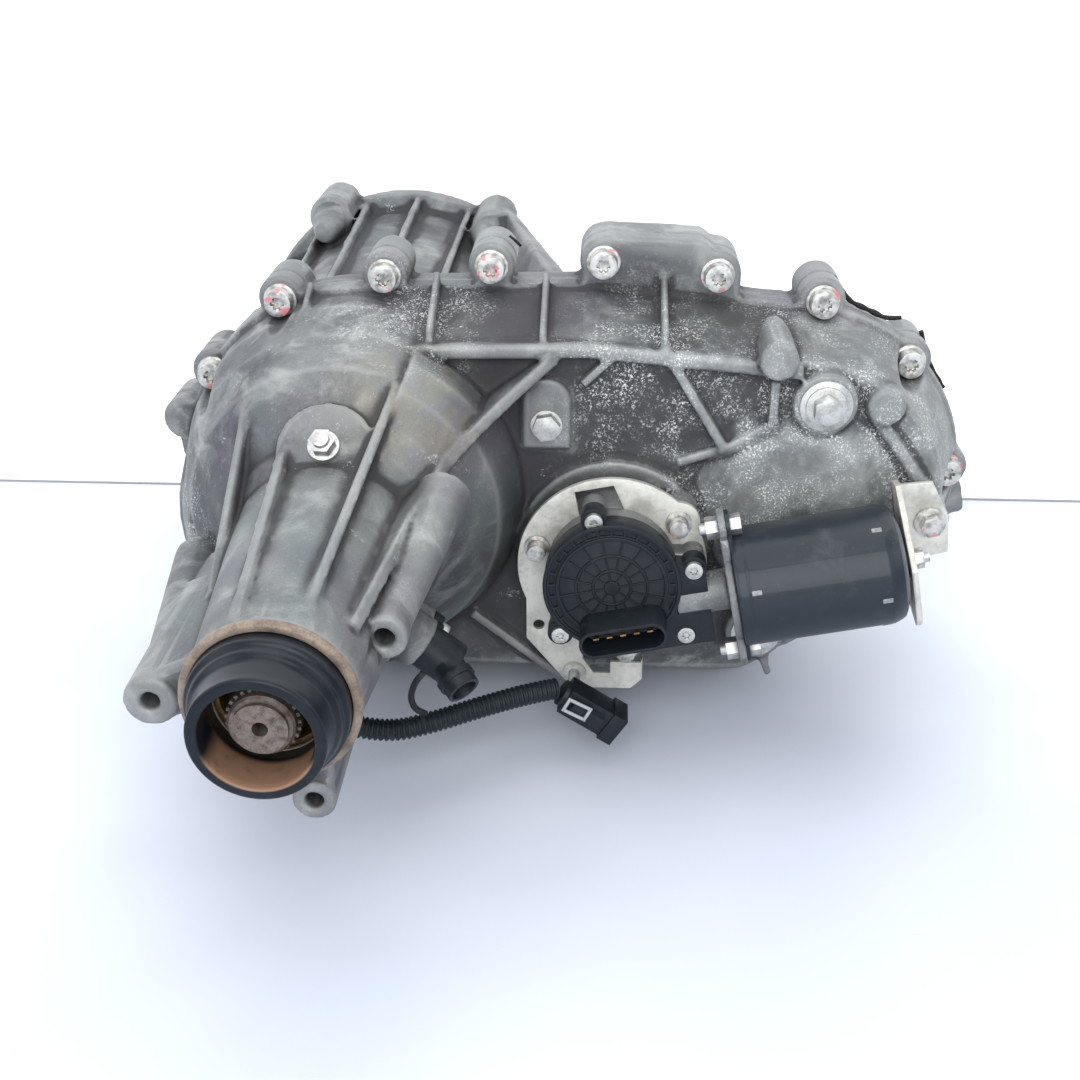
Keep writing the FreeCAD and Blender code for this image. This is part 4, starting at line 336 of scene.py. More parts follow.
def cast_material(name, speckle):
    """Weathered cast aluminium: stained greys, grimy hollows, pale oxide specks and worn edges."""
    g = Graph(name)
    cavity = g.attribute("cavity")
    crust = g.noise(60.0, 5.0, 0.7, where=g.moved((1.7, 2.2, -0.6)))
    broad = g.noise(9.0, 4.0, 0.6, distortion=0.4)
    blotch = g.noise(38.0, 5.0, 0.65, distortion=0.6)
    fine = g.noise(420.0, 4.0, 0.7)
    grit = g.noise(1500.0, 2.0, 0.6)
    colour = g.mix((0.060, 0.062, 0.068), (0.20, 0.206, 0.202), broad.step(0.32, 0.7))
    colour = g.mix(colour, (0.36, 0.37, 0.358), blotch.step(0.48, 0.72) * 0.7)
    violet = g.noise(14.0, 2.0, 0.5, where=g.moved((3.1, 0.7, 1.3)))
    colour = g.mix(colour, (0.095, 0.088, 0.115), violet.step(0.5, 0.7) * 0.6)
    green = g.noise(17.0, 2.0, 0.5, where=g.moved((-2.1, 4.7, 0.3)))
    colour = g.mix(colour, (0.115, 0.145, 0.142), green.step(0.54, 0.7) * 0.5)
    warm = g.near((0.04, SPLIT_Y - 0.095, 0.066), 0.05) * blotch.step(0.35, 0.6)
    colour = g.mix(colour, (0.24, 0.215, 0.155), warm * 0.6)
    colour = g.mix(colour, (0.33, 0.34, 0.335), fine.step(0.56, 0.75) * 0.4)
    colour = g.mix(colour, (0.02, 0.02, 0.024), grit.step(0.56, 0.74) * 0.45)
    # Darkens toward near black at the dark marks: oil stains, and a painted shadow in the recess by the
    # encoder plate.
    oil_and_shadow = g.spots(OIL_STAINS_AND_SHADOW)
    colour = g.mix(colour, (0.016, 0.018, 0.02), oil_and_shadow * broad.step(0.2, 0.6) * 0.7)
    pale = g.spots(PALE_PATCHES)
    colour = g.mix(colour, (0.34, 0.36, 0.355), pale * crust.step(0.3, 0.62) * 0.6)
    # Hollows darken toward near black: grime and painted shade.
    grime_and_shade = (0.5 - cavity).step(0.0, 0.2)
    colour = g.mix(colour, (0.02, 0.019, 0.021), grime_and_shade * 0.88)
    wear = (cavity - 0.5).step(0.05, 0.26)
    colour = g.mix(colour, (0.40, 0.405, 0.395), wear * 0.3)
    speck = g.noise(900.0, 3.0, 0.75, distortion=0.3)
    patches = g.spots(OXIDE_PATCHES)
    amount = patches * crust.step(0.42, 0.62) + crust.step(0.6, 0.72) * 0.55
    white = speck.step(0.53, 0.6) * amount * speckle
    colour = g.mix(colour, (0.72, 0.73, 0.72), white)
    rough = 0.46 + blotch * 0.2 + white * 0.3 + grime_and_shade * 0.15
    metallic = 0.55 - white * 0.5 - grime_and_shade * 0.4
    streak = g.near((0.0155, SPLIT_Y - 0.1235, 0.0795), 0.006) * 0.8
    colour = g.mix(colour, (0.55, 0.09, 0.12), streak)
    g.bump(fine * 0.6 + grit * 0.25 + blotch * 0.5, 0.35, 0.0006)
    return g.surface(colour, rough, metallic)


def metal_material(name, colour, dark, rough=0.35, metallic=0.9, scale=160.0, rust=0.0):
    """Plated or machined metal with slight dulling."""
    g = Graph(name)
    cloud = g.noise(scale, 4.0, 0.6)
    fine = g.noise(scale * 7, 3.0, 0.65)
    tone = g.mix(dark, colour, (cloud * 0.7 + fine * 0.3).step(0.32, 0.62))
    if rust:
        tone = g.mix(tone, (0.16, 0.07, 0.035), g.noise(scale * 1.7, 5.0, 0.7).step(0.52, 0.7) * rust)
    g.bump(fine, 0.15, 0.0002)
    return g.surface(tone, rough + cloud * 0.25, metallic)


def dull_material(name, colour, rough=0.5, dust=0.25, scale=90.0, coat=0.0):
    """Black plastic, rubber or paint with a little dust."""
    g = Graph(name)
    g.feed(g.shader.inputs["Specular IOR Level"], 0.3)
    cloud = g.noise(scale, 5.0, 0.65, distortion=0.3)
    fine = g.noise(scale * 9, 3.0, 0.7)
    dusty = cloud.step(0.52, 0.8) * dust + fine.step(0.62, 0.8) * dust * 0.8
    tone = g.mix(colour, (0.16, 0.16, 0.165), dusty)
    g.feed(g.shader.inputs["Coat Weight"], coat)
    g.bump(fine, 0.12, 0.0002)
    return g.surface(tone, rough + cloud * 0.2, 0.0)


def painted_head_material(name):
    """Zinc plated bolt with a smear of pink torque paint on one side."""
    g = Graph(name)
    cloud = g.noise(240.0, 4.0, 0.6)
    tone = g.mix((0.26, 0.255, 0.24), (0.6, 0.595, 0.57), cloud.step(0.3, 0.62))
    smear = g.noise(95.0, 3.0, 0.6, where=g.moved((0.4, 0.0, 0.9), stretch=(1.0, 0.35, 1.3)))
    paint = smear.step(0.61, 0.65) * 0.8
    tone = g.mix(tone, (0.6, 0.17, 0.2), paint)
    return g.surface(tone, 0.32 + cloud * 0.25 + paint * 0.2, 0.85 - paint * 0.8)


def boot_material(name):
    """Glossy black rubber with a painted bluish sheen in patches, whose bore is stained tan at the bottom."""
    g = Graph(name)
    g.feed(g.shader.inputs["Specular IOR Level"], 0.25)
    cloud = g.noise(60.0, 4.0, 0.6)
    fine = g.noise(520.0, 3.0, 0.65)
    # Lighter bluish patches are a painted sheen.
    painted_sheen = cloud.step(0.5, 0.85) * 0.5 + fine.step(0.62, 0.8) * 0.2
    tone = g.mix((0.004, 0.0065, 0.0105), (0.02, 0.027, 0.038), painted_sheen)
    x, z = g.axis("X"), g.axis("Z")
    bore = (0.0232 - (x * x + z * z) ** 0.5).step(-0.0004, 0.0004) * (-0.006 - z).step(0.0, 0.008)
    tone = g.mix(tone, (0.26, 0.15, 0.095), bore * cloud.step(0.2, 0.5) * 0.9)
    g.bump(fine, 0.1, 0.0002)
    return g.surface(tone, 0.26 + cloud * 0.14, 0.0)


MATERIALS = {}


def make_materials(speckle):
    """Every material of the object."""
    black = (0.006, 0.009, 0.013)
    MATERIALS.update({
        "cast": cast_material("cast_aluminium", speckle),
        "zinc": metal_material("zinc_plate", (0.62, 0.62, 0.60), (0.33, 0.33, 0.315)),
        "plate": metal_material("plated_sheet", (0.66, 0.65, 0.6), (0.42, 0.41, 0.37), 0.42, 0.55, 60.0),
        "bolt": painted_head_material("marked_bolt"),
        "steel": metal_material("machined_steel", (0.5, 0.5, 0.49), (0.2, 0.2, 0.2), 0.3),
        "dark": metal_material("dark_steel", (0.2, 0.2, 0.2), (0.07, 0.07, 0.07), 0.4),
        "rusty": metal_material("rusted_steel", (0.22, 0.19, 0.17), (0.08, 0.06, 0.05), 0.5, 0.7, 260.0, 0.8),
        "tan": metal_material("retainer_metal", (0.3, 0.24, 0.19), (0.13, 0.1, 0.08), 0.5, 0.5, 120.0, 0.3),
        "bronze": metal_material("bronze", (0.45, 0.3, 0.15), (0.2, 0.12, 0.06), 0.35),
        "plastic": dull_material("black_plastic", black, 0.38, 0.12),
        "rubber": dull_material("black_rubber", (0.012, 0.014, 0.017), 0.5, 0.3, 140.0),
        "boot": boot_material("boot_rubber"),
        "scuffed": metal_material("scuffed_steel", (0.34, 0.34, 0.34), (0.1, 0.1, 0.1), 0.4, 0.6, 300.0),
        "paint": dull_material("black_paint", (0.010, 0.016, 0.023), 0.34, 0.22, 45.0, 0.15),
        "sealant": dull_material("sealant", (0.01, 0.01, 0.01), 0.55, 0.05),
        "latch": dull_material("grey_latch", (0.34, 0.36, 0.37), 0.4, 0.1),
        "loom": dull_material("loom_plastic", (0.007, 0.012, 0.016), 0.34, 0.2, 200.0),
    })


# CAD pieces by finish.
CAD_FINISHES = {
    "zinc": ["case_dowels", "shoulder_stud", "locator_bolt", "oil_plugs", "speed_sensor_bolts",
             "motor_flange_fasteners", "harness_clip", "sensor_cover_screws", "flange_nut"],
    "plate": ["encoder_plate", "motor_bracket"],
    "bolt": ["case_bolts", "encoder_plate_bolts", "bracket_fasteners"],
    "steel": ["input_bearing", "ring_gear", "rear_output_bearing", "front_output_bearings",
              "oil_pickup_tube", "shift_rail", "input_shaft", "planet_pins", "planet_gear_1",
              "planet_gear_2", "planet_gear_3", "planet_gear_4", "pump_rotor", "front_output_shaft"],
    "dark": ["snap_rings", "sump_magnet", "drive_chain", "planet_carrier", "clutch_hub", "clutch_plates",
             "tone_ring", "drive_sprocket", "driven_sprocket", "range_sleeve", "range_fork",
             "sector_shaft", "motor_armature", "front_output_flange"],
    "rusty": ["mainshaft", "shaft_end_plug"],
    "tan": ["seal_retainer_ring"],
    "bronze": ["extension_bushing", "connector_pins"],
    "plastic": ["sensor_cover", "speed_sensors", "harness_connector"],
    "rubber": ["dust_boot", "shaft_seals", "sensor_lead"],
    "paint": ["motor_can"],
    "sealant": ["case_sealant"],
    "loom": ["harness_loom"],
    "cast": ["front_case_half", "rear_case_half", "gear_housing", "oil_pump_housing"],
}

# Pieces that get a copy with rounded edges, and the width of the rounding in metres.
ROUNDED = {"case_bolts": 0.00035, "oil_plugs": 0.00045, "locator_bolt": 0.00035, "shoulder_stud": 0.00025,
           "encoder_plate": 0.00035, "encoder_plate_bolts": 0.0003, "motor_bracket": 0.00035,
           "bracket_fasteners": 0.0003, "sensor_cover": 0.0005, "sensor_cover_screws": 0.00025,
           "motor_flange_fasteners": 0.00025, "speed_sensors": 0.0005, "speed_sensor_bolts": 0.0003,
           "harness_connector": 0.0006, "harness_clip": 0.0002, "seal_retainer_ring": 0.0004,
           "front_output_flange": 0.0006, "flange_nut": 0.0004, "motor_can": 0.0004}


# ---------------------------------------------------------------- mesh helpers
def rounded(points, radius, steps=4):
    """Polyline with its inner corners rounded off."""
    line = [Vector(points[0])]
    for before, corner, after in zip(points, points[1:], points[2:]):
        before, corner, after = Vector(before), Vector(corner), Vector(after)
        back = min(radius, 0.45 * (corner - before).length, 0.45 * (after - corner).length)
        start = corner + (before - corner).normalized() * back
        end = corner + (after - corner).normalized() * back
        for step in range(steps + 1):
            share = step / steps
            line.append(start.lerp(corner, share).lerp(corner.lerp(end, share), share))
    line.append(Vector(points[-1]))
    return line


def spun(line, centre, axis, across, steps=96):
    """Closed mesh of a (radius, station) line turned about an axis."""
    bm = bmesh.new()
    centre, axis, across = Vector(centre), Vector(axis), Vector(across)
    verts = [bm.verts.new(centre + across * max(radius, 0.0) + axis * station) for radius, station in line]
    edges = [bm.edges.new(pair) for pair in zip(verts, verts[1:])]
    if (verts[0].co - verts[-1].co).length > 1e-7 and min(line[0][0], line[-1][0]) > 1e-6:
        edges.append(bm.edges.new((verts[-1], verts[0])))
    bmesh.ops.spin(bm, geom=verts + edges, cent=centre, axis=axis, angle=FULL_TURN, steps=steps,
                   use_merge=True)
    bmesh.ops.remove_doubles(bm, verts=bm.verts, dist=MERGE)
    return bm


def route(points, step):
    """Points along straight runs joined by tangent arcs, about one step apart."""
    points = [Vector(point) for point in points]
    path = [points[0]]
    for before, corner, after in zip(points, points[1:], points[2:]):
        into = (corner - before).normalized()
        out = (after - corner).normalized()
        back = 0.45 * min((corner - before).length, (after - corner).length)
        half = into.angle(out) / 2
        radius = back / math.tan(half)
        first = corner - into * back
        centre = first + (out - into * into.dot(out)).normalized() * radius
        turns = max(2, round(radius * 2 * half / step))
        path.append(first)
        normal = into.cross(out).normalized()
        for index in range(1, turns + 1):
            path.append(centre + Matrix.Rotation(2 * half * index / turns, 3, normal) @ (first - centre))
    path.append(points[-1])
    even = [path[0]]
    for end in path[1:]:
        count = max(1, round((end - even[-1]).length / step))
        start = even[-1]
        even += [start.lerp(end, (index + 1) / count) for index in range(count)]
    return even


def swept(path, radii, sides=20):
    """Closed tube of varying radius along a path."""
    bm = bmesh.new()
    loops = []
    side = Vector((0, 0, 1))
    for index, (point, radius) in enumerate(zip(path, radii)):
        ahead = (path[min(index + 1, len(path) - 1)] - path[max(index - 1, 0)]).normalized()
        side = (side - ahead * side.dot(ahead)).normalized()
        turn = Matrix((side, ahead.cross(side), ahead)).transposed().to_4x4()
        made = bmesh.ops.create_circle(bm, segments=sides, radius=radius,
                                       cap_ends=index in (0, len(path) - 1),
                                       matrix=Matrix.Translation(point) @ turn)
        loops.append(list({edge for vert in made["verts"] for edge in vert.link_edges}))
    for low, high in zip(loops, loops[1:]):
        bmesh.ops.bridge_loops(bm, edges=low + high)
    return bm


def join_mesh(bm, other):
    """Add one bmesh to another."""
    mesh = bpy.data.meshes.new("join")
    other.to_mesh(mesh)
    other.free()
    bm.from_mesh(mesh)
    bpy.data.meshes.remove(mesh)


def block(bm, size, place, turn=Matrix.Identity(4), bevel=0.0002):
    """Add a box with rounded edges to a bmesh."""
    part = bmesh.new()
    bmesh.ops.create_cube(part, size=1.0, matrix=Matrix.Diagonal((*size, 1.0)))
    bmesh.ops.bevel(part, geom=part.edges, offset=bevel, segments=2, profile=0.5, affect="EDGES", material=-1)
    bmesh.ops.transform(part, verts=part.verts, matrix=turn @ Matrix.Translation(place))
    join_mesh(bm, part)


def rounded_copy(node, name, key, width):
    """Copy of a CAD piece with its sharp edges rounded over, in place of the node."""
    bm = bmesh.new()
    bm.from_mesh(frame["nodes"][node].data)
    bmesh.ops.remove_doubles(bm, verts=bm.verts, dist=MERGE)
    mesh = bpy.data.meshes.new(name)
    bm.to_mesh(mesh)
    bm.free()
    piece = bpy.data.objects.new(name, mesh)
    bpy.context.scene.collection.objects.link(piece)
    bevel = piece.modifiers.new("Edges", "BEVEL")
    bevel.width = width
    bevel.segments = 2
    bevel.limit_method = "ANGLE"
    bevel.angle_limit = BEVEL_ANGLE
    bpy.context.view_layer.update()
    final = bpy.data.meshes.new_from_object(piece.evaluated_get(bpy.context.evaluated_depsgraph_get()))
    piece.modifiers.clear()
    piece.data = final
    final.materials.clear()
    final.materials.append(MATERIALS[key])
    final.shade_smooth()
    final.set_sharp_from_angle(angle=SHARP_ANGLE)
    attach(piece, body_of(frame["nodes"][node])[0])
    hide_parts(node)
    return piece


def new_piece(name, bm, material, body="case", smooth=True):
    """Turn a bmesh into a finished piece that rides on a body."""
    mesh = bpy.data.meshes.new(name)
    bmesh.ops.recalc_face_normals(bm, faces=bm.faces)
    for face in bm.faces:
        face.smooth = smooth
    bm.to_mesh(mesh)
    bm.free()
    mesh.materials.append(MATERIALS[material])
    piece = bpy.data.objects.new(name, mesh)
    bpy.context.scene.collection.objects.link(piece)
    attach(piece, body)
    return piece


def store_cavity(mesh, rounds=14):
    """Store how far each point stands out of the smoothed surface: 0.5 is level, more is an edge."""
    count = len(mesh.vertices)
    points = np.empty(count * 3, np.float32)
    mesh.vertices.foreach_get("co", points)
    points = points.reshape(-1, 3).astype(np.float64)
    normals = np.empty(count * 3, np.float32)
    mesh.vertices.foreach_get("normal", normals)
    normals = normals.reshape(-1, 3)
    edges = np.empty(len(mesh.edges) * 2, np.int32)
    mesh.edges.foreach_get("vertices", edges)
    edges = edges.reshape(-1, 2)
    degree = np.bincount(edges.ravel(), minlength=count).reshape(-1, 1).astype(float)
    level = points.copy()
    for _ in range(rounds):
        total = np.zeros_like(level)
        for column in range(3):
            for end, other in ((0, 1), (1, 0)):
                total[:, column] += np.bincount(edges[:, end], weights=level[edges[:, other], column],
                                                minlength=count)
        level = total / np.maximum(degree, 1)
    height = ((points - level) * normals).sum(axis=1)
    value = np.clip(0.5 + height / CAVITY_SPAN, 0.0, 1.0).astype(np.float32)
    layer = mesh.attributes.new("cavity", "FLOAT", "POINT")
    layer.data.foreach_set("value", value)


def soft_casting(node, name, voxel, smoothing, limit=190000):
    """Copy of a CAD casting with soft edges, merged, remeshed, smoothed and thinned."""
    bm = bmesh.new()
    bm.from_mesh(frame["nodes"][node].data)
    bmesh.ops.remove_doubles(bm, verts=bm.verts, dist=MERGE)
    mesh = bpy.data.meshes.new(name)
    bm.to_mesh(mesh)
    bm.free()
    piece = bpy.data.objects.new(name, mesh)
    bpy.context.scene.collection.objects.link(piece)
    remesh = piece.modifiers.new("Remesh", "REMESH")
    remesh.mode = "VOXEL"
    remesh.voxel_size = voxel
    smooth = piece.modifiers.new("Smooth", "SMOOTH")
    smooth.factor = 0.5
    smooth.iterations = smoothing
    thin = piece.modifiers.new("Thin", "DECIMATE")
    bpy.context.view_layer.update()
    thin.show_viewport = False
    dense = piece.evaluated_get(bpy.context.evaluated_depsgraph_get()).to_mesh()
    triangles = sum(len(face.vertices) - 2 for face in dense.polygons)
    thin.show_viewport = True
    thin.ratio = min(1.0, limit / max(triangles, 1))
    bpy.context.view_layer.update()
    final = bpy.data.meshes.new_from_object(piece.evaluated_get(bpy.context.evaluated_depsgraph_get()))
    piece.modifiers.clear()
    piece.data = final
    final.materials.clear()
    final.materials.append(MATERIALS["cast"])
    for face in final.polygons:
        face.use_smooth = True
    store_cavity(final)
    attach(piece, "case")
    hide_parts(node)
    return piece


def finish_cad_nodes():
    """Give the CAD nodes that stay visible their materials."""
    for key, nodes in CAD_FINISHES.items():
        for node in nodes:
            mesh = frame["nodes"][node].data
            mesh.materials.clear()
            mesh.materials.append(MATERIALS[key])


# ---------------------------------------------------------------- operators
class PieceOperator:
    """Shared behaviour: build the pieces, where any error stops the script."""
    bl_options = {"REGISTER", "UNDO"}

    def execute(self, context):
        self.build(context.scene)
        return {"FINISHED"}


class TC_OT_finishes(PieceOperator, bpy.types.Operator):
    """Make the materials and put them on the CAD pieces"""
    bl_idname = "tc.finishes"
    bl_label = "Finishes"

    def build(self, scene):
        make_materials(scene.tc_casting.speckle)
        finish_cad_nodes()


class TC_OT_castings(PieceOperator, bpy.types.Operator):
    """Build the two softened case castings and the gear housing"""
    bl_idname = "tc.castings"
    bl_label = "Castings"

    def build(self, scene):
        settings = scene.tc_casting
        soft_casting("rear_case_half", "Rear_casting", settings.voxel, settings.smoothing)
        soft_casting("front_case_half", "Front_casting", settings.voxel * 1.25, settings.smoothing)
        soft_casting("gear_housing", "Gear_casting", 0.0008, 3, 60000)


class TC_OT_fittings(PieceOperator, bpy.types.Operator):
    """Round the edges of the bolts, plugs, sensors, plates and other small fittings"""
    bl_idname = "tc.fittings"
    bl_label = "Fittings"

    def build(self, scene):
        for key, nodes in CAD_FINISHES.items():
            for node in nodes:
                if node in ROUNDED:
                    rounded_copy(node, node + "_look", key, ROUNDED[node])


class TC_OT_cover(PieceOperator, bpy.types.Operator):
    """Moulded rings, spokes and ties on the face of the sensor cover"""
    bl_idname = "tc.cover"
    bl_label = "Sensor cover"

    def build(self, scene):
        settings = scene.tc_unit
        rise = settings.spoke_height
        bm = bmesh.new()
        centre = UNIT @ Vector((0, COVER_FACE, 0))
        for radius, width in ((0.0272, 0.0010), (0.0178, 0.0008), (0.0095, 0.0008), (0.0335, 0.0011)):
            line = rounded([(radius - width, 0.0004), (radius - width, -rise), (radius + width, -rise),
                            (radius + width, 0.0004)], 0.0006)
            join_mesh(bm, spun([tuple(point) for point in line], centre, (0, 1, 0), (1, 0, 0)))
        hub = rounded([(0.0, -rise * 1.3), (0.0038, -rise * 1.3), (0.0042, 0.0004), (0.0, 0.0004)], 0.0005)
        join_mesh(bm, spun([tuple(point) for point in hub], centre, (0, 1, 0), (1, 0, 0), 32))
        outer = 0.0268
        for index in range(settings.spokes):
            turn = UNIT @ Matrix.Rotation(FULL_TURN * index / settings.spokes, 4, "Y")
            inner = 0.003 if index % 2 == 0 else 0.0095
            place = ((inner + outer) / 2, COVER_FACE - rise * 0.3, 0)
            block(bm, (outer - inner, rise * 1.2, 0.0009), place, turn)
        ties, first, pitch = 19, 20, 12.5
        for index in range(ties):
            turn = UNIT @ Matrix.Rotation(math.radians(first - pitch * index), 4, "Y")
            block(bm, (0.0040, 0.0013, 0.0012), (0.0303, COVER_FACE + 0.0006, 0), turn)
        new_piece("Cover_ribs", bm, "plastic", smooth=False)


class TC_OT_motor(PieceOperator, bpy.types.Operator):
    """Drawn motor can with staking marks near both ends"""
    bl_idname = "tc.motor"
    bl_label = "Motor"

    def build(self, scene):
        y, w = MOTOR_AXIS
        centre = UNIT @ Vector((0, y, w))
        axis = UNIT.to_3x3() @ Vector((1, 0, 0))
        line = rounded([(0.0, 0.0605), (0.0301, 0.0605), (0.0301, 0.0660), (0.0298, 0.0668),
                        (0.03005, 0.0676), (0.03005, 0.1350), (0.0278, 0.1405), (0.0220, 0.1430),
                        (0.0093, 0.1430), (0.0090, 0.1456), (0.0, 0.1456)], 0.0022, 6)
        shell = spun([tuple(point) for point in line], centre, axis, (0, 1, 0), 128)
        new_piece("Motor_shell", shell, "paint")
        bm = bmesh.new()
        near_end, far_end = 0.0700, 0.1310
        for station, angle in ((near_end, -20), (near_end, 100), (far_end, -62), (far_end, 8), (far_end, 58),
                               (far_end, 150)):
            turn = UNIT @ Matrix.Translation((station, y, w)) @ Matrix.Rotation(math.radians(angle), 4, "X")
            block(bm, (0.0050, 0.0008, 0.0026), (0, -0.0299, 0), turn, 0.00038)
        new_piece("Motor_stakes", bm, "scuffed")


class TC_OT_loom(PieceOperator, bpy.types.Operator):
    """Corrugated loom from the clip to the sensor under the extension"""
    bl_idname = "tc.loom"
    bl_label = "Loom"

    def build(self, scene):
        settings = scene.tc_harness
        path = route([(x, y + SPLIT_Y, z) for x, y, z in LOOM_ROUTE], settings.pitch / 6)
        run = 0.0
        radii = []
        for index, point in enumerate(path):
            if index:
                run += (point - path[index - 1]).length
            wave = 0.5 + 0.5 * math.cos(FULL_TURN * run / settings.pitch)
            radii.append(settings.radius - settings.depth * (1 - wave ** 0.6))
        piece = new_piece("Corrugated_loom", swept(path, radii, 24), "loom")
        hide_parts("harness_loom")
        bm = bmesh.new()
        low, high = (Vector(corner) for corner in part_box("harness_connector"))
        centre = Matrix.Translation((low.x + 0.012, low.y - 0.0006, high.z - 0.0095))
        at = centre @ Matrix.Rotation(math.radians(28), 4, "Y")
        for size, place in (((0.012, 0.0012, 0.0016), (0, 0, 0.0035)),
                            ((0.0016, 0.0012, 0.0086), (-0.006, 0, 0))):
            block(bm, size, place, at, 0.0003)
            block(bm, size, tuple(-value for value in place), at, 0.0003)
        new_piece("Connector_latch", bm, "latch")


class TC_OT_boot(PieceOperator, bpy.types.Operator):
    """Moulded rubber boot with its rolled lip"""
    bl_idname = "tc.boot"
    bl_label = "Dust boot"

    def build(self, scene):
        low, high = (Vector(corner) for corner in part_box("dust_boot"))
        back, lip = high.y, low.y
        outer = (high.x - low.x) / 2
        centre = ((low.x + high.x) / 2, 0, (low.z + high.z) / 2)
        bore = 0.0237
        line = rounded([(bore, back), (outer, back), (outer, back - 0.0085), (outer - 0.0022, back - 0.0100),
                        (outer - 0.0024, back - 0.0128), (outer - 0.0048, back - 0.0150),
                        (outer - 0.0056, lip + 0.004), (outer - 0.0054, lip), (outer - 0.0104, lip),
                        (outer - 0.0108, lip + 0.003), (outer - 0.0100, back - 0.0100),
                        (bore, back - 0.0060)], 0.0019, 5)
        boot = spun([tuple(point) for point in line], centre, (0, 1, 0), (1, 0, 0), 112)
        piece = new_piece("Boot", boot, "boot")
        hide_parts("dust_boot")


class TC_OT_sealant(PieceOperator, bpy.types.Operator):
    """Sealant squeezed out of the joint, mostly along the upper right edge"""
    bl_idname = "tc.sealant"
    bl_label = "Sealant"

    def build(self, scene):
        mesh = frame["nodes"]["case_sealant"].data
        points = np.empty(len(mesh.vertices) * 3, np.float32)
        mesh.vertices.foreach_get("co", points)
        points = points.reshape(-1, 3)
        middle = Vector((0.11, SPLIT_Y - 0.0004, 0.0))
        angles = np.arctan2(points[:, 2], points[:, 0] - middle.x)
        reach = np.hypot(points[:, 2], points[:, 0] - middle.x)
        bm = bmesh.new()
        # Each bead runs from one angle to another, in degrees, with its own thickness.
        for start, end, size in ((12, 22, 0.0017), (25, 37, 0.0019), (98, 105, 0.0011), (-30, -14, 0.0013),
                                 (205, 220, 0.0011)):
            path = []
            radii = []
            for angle in np.radians(np.arange(start, end, 0.35)):
                gap = np.abs((angles - angle + math.pi) % FULL_TURN - math.pi)
                near = reach[gap < math.radians(2.5)]
                if len(near):
                    wobble = noise.noise(Vector((angle * 22, size * 900, 0)))
                    far = float(near.max()) + 0.0008 * wobble
                    path.append(middle + Vector((math.cos(angle) * far, 0, math.sin(angle) * far)))
                    swell = abs(noise.noise(Vector((angle * 28, 7.1, size * 500))))
                    radii.append(size * (0.55 + 0.5 * swell))
            for _ in range(6):
                path[1:-1] = [(a + b + c) / 3 for a, b, c in zip(path, path[1:], path[2:])]
            join_mesh(bm, swept(path, radii, 10))
        new_piece("Sealant_bead", bm, "sealant")


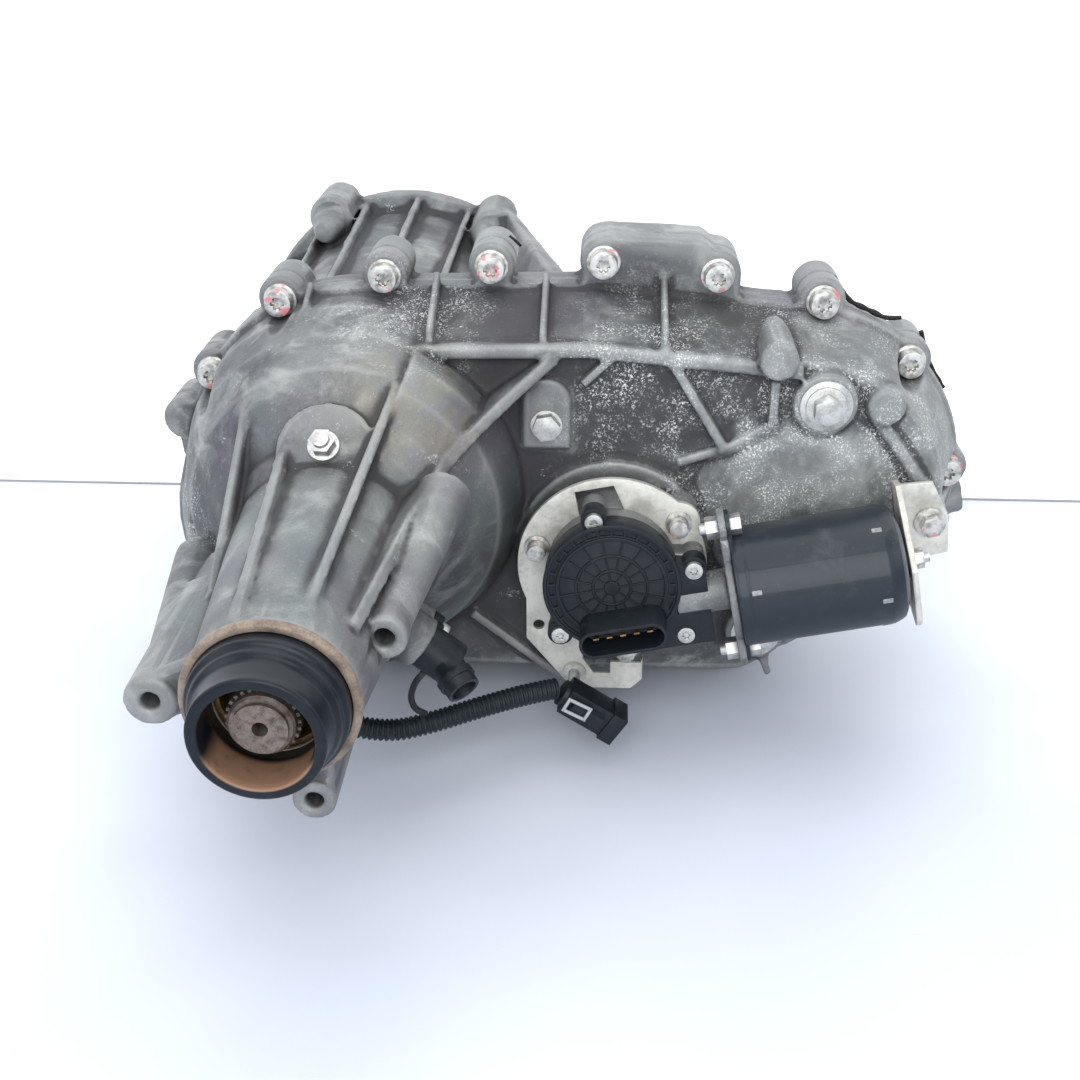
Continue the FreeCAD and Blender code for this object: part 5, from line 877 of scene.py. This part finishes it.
class TC_OT_stage(PieceOperator, bpy.types.Operator):
    """Set up the floor, the wall, the lights and the camera"""
    bl_idname = "tc.stage"
    bl_label = "Stage"

    def build(self, scene):
        settings = scene.tc_stage
        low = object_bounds()[0][2]
        floor = Graph("floor")
        cloud = floor.noise(3.0, 3.0, 0.5)
        along = floor.moved(turn=(0, 0, 0.5), stretch=(0.12, 1.6, 1.0))
        scratch = floor.noise(70.0, 4.0, 0.7, where=along)
        scuff = scratch.step(0.66, 0.72) * floor.noise(5.0, 2.0, 0.5).step(0.5, 0.65)
        tone = floor.mix((0.54, 0.575, 0.66), (0.66, 0.69, 0.75), cloud.step(0.3, 0.7))
        floor.surface(floor.mix(tone, (0.33, 0.35, 0.43), scuff * 0.6), 0.4, 0.0)
        bm = bmesh.new()
        bmesh.ops.create_grid(bm, x_segments=1, y_segments=1, size=FLOOR_HALF)
        bmesh.ops.translate(bm, verts=bm.verts, vec=(STAGE_X, FLOOR_BACK - FLOOR_HALF, low))
        self.backdrop("Floor", bm, floor.material)
        wall = Graph("wall")
        wall.surface((0.9, 0.91, 0.92), 0.8, 0.0)
        wall.feed(wall.shader.inputs["Emission Color"], (1.0, 1.0, 1.0))
        wall.feed(wall.shader.inputs["Emission Strength"], 0.45)
        bm = bmesh.new()
        bmesh.ops.create_grid(bm, x_segments=1, y_segments=1, size=WALL_HALF)
        bmesh.ops.rotate(bm, verts=bm.verts, matrix=Matrix.Rotation(math.pi / 2, 3, "X"))
        bmesh.ops.translate(bm, verts=bm.verts, vec=(STAGE_X, WALL_Y, low + WALL_HALF - WALL_SUNK))
        self.backdrop("Wall", bm, wall.material)
        bm = bmesh.new()
        lift = JOINT_LINE_SIZE[2] / 2
        bmesh.ops.create_cube(bm, size=1.0, matrix=Matrix.Translation((STAGE_X, JOINT_LINE_Y, low + lift))
                              @ Matrix.Diagonal((*JOINT_LINE_SIZE, 1.0)))
        gap = Graph("joint_line")
        self.backdrop("Joint_line", bm, gap.surface((0.34, 0.35, 0.38), 0.9, 0.0))
        self.light("Key", settings.key_power, 1.1, (0.0, -0.35, 1.15), (0.08, -0.25, 0.0), (1.0, 1.0, 1.0))
        self.light("Front", settings.front_power, 1.3, (0.15, -1.65, 0.75), (0.12, -0.25, 0.0),
                   (0.97, 0.985, 1.0))
        self.light("Fill", settings.fill_power, 0.8, (-0.95, -0.8, 0.55), (0.05, -0.25, 0.0),
                   (0.93, 0.96, 1.0))
        self.light("Side", settings.fill_power * 0.6, 0.7, (1.1, -0.7, 0.6), (0.1, -0.25, 0.0),
                   (1.0, 0.98, 0.96))
        world = bpy.data.worlds.new("Room")
        world.use_nodes = True
        world.node_tree.nodes["Background"].inputs["Color"].default_value = (0.86, 0.9, 0.96, 1.0)
        world.node_tree.nodes["Background"].inputs["Strength"].default_value = 0.5
        scene.world = world
        scene.view_settings.view_transform = "Standard"
        self.camera(scene, settings.lens)

    def backdrop(self, name, bm, material):
        """Turn a bmesh into a piece of the stage."""
        mesh = bpy.data.meshes.new(name)
        bm.to_mesh(mesh)
        bm.free()
        mesh.materials.append(material)
        plane = bpy.data.objects.new(name, mesh)
        bpy.context.scene.collection.objects.link(plane)
        plane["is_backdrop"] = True

    def light(self, name, power, size, place, target, colour):
        """Add a square area light that points at a target."""
        lamp = bpy.data.lights.new(name, "AREA")
        lamp.energy = power
        lamp.size = size
        lamp.color = colour
        holder = bpy.data.objects.new(name, lamp)
        holder.location = place
        holder.rotation_euler = (Vector(target) - Vector(place)).to_track_quat("-Z", "Y").to_euler()
        bpy.context.scene.collection.objects.link(holder)

    def camera(self, scene, lens):
        """Add the camera and make it the scene's own."""
        data = bpy.data.cameras.new("Camera")
        data.lens = lens
        data.sensor_width = CAMERA_SENSOR_WIDTH
        camera = bpy.data.objects.new("Camera", data)
        forward = Vector(CAMERA_FORWARD).normalized()
        right = Vector(CAMERA_RIGHT).normalized()
        up = right.cross(forward)
        turn = Matrix((right, up, -forward)).transposed().to_4x4()
        camera.matrix_world = Matrix.Translation(CAMERA_PLACE) @ turn
        scene.collection.objects.link(camera)
        scene.camera = camera


class TC_PT_panel(bpy.types.Panel):
    """Transfer case looks"""
    bl_label = "Transfer case"
    bl_idname = "TC_PT_panel"
    bl_space_type = "VIEW_3D"
    bl_region_type = "UI"
    bl_category = "Transfer case"

    def draw(self, context):
        layout = self.layout
        for name in GROUPS:
            group = getattr(context.scene, name)
            box = layout.box()
            for key in group.__annotations__:
                box.prop(group, key)
        for operator in STEPS:
            layout.operator(operator.bl_idname)


GROUPS = {
    "tc_casting": CastingSettings,
    "tc_unit": UnitSettings,
    "tc_harness": HarnessSettings,
    "tc_stage": StageSettings,
}
STEPS = [TC_OT_finishes, TC_OT_castings, TC_OT_fittings, TC_OT_cover, TC_OT_motor, TC_OT_loom, TC_OT_boot,
         TC_OT_sealant, TC_OT_stage]
CLASSES = [*GROUPS.values(), *STEPS, TC_PT_panel]


def register():
    for item in CLASSES:
        bpy.utils.register_class(item)
    for name, group in GROUPS.items():
        setattr(bpy.types.Scene, name, bpy.props.PointerProperty(type=group))


def unregister():
    for name in GROUPS:
        delattr(bpy.types.Scene, name)
    for item in reversed(CLASSES):
        bpy.utils.unregister_class(item)


def main():
    register()
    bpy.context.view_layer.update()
    for step in STEPS:
        group, name = step.bl_idname.split(".")
        getattr(getattr(bpy.ops, group), name)()


if __name__ == "__main__":
    main()
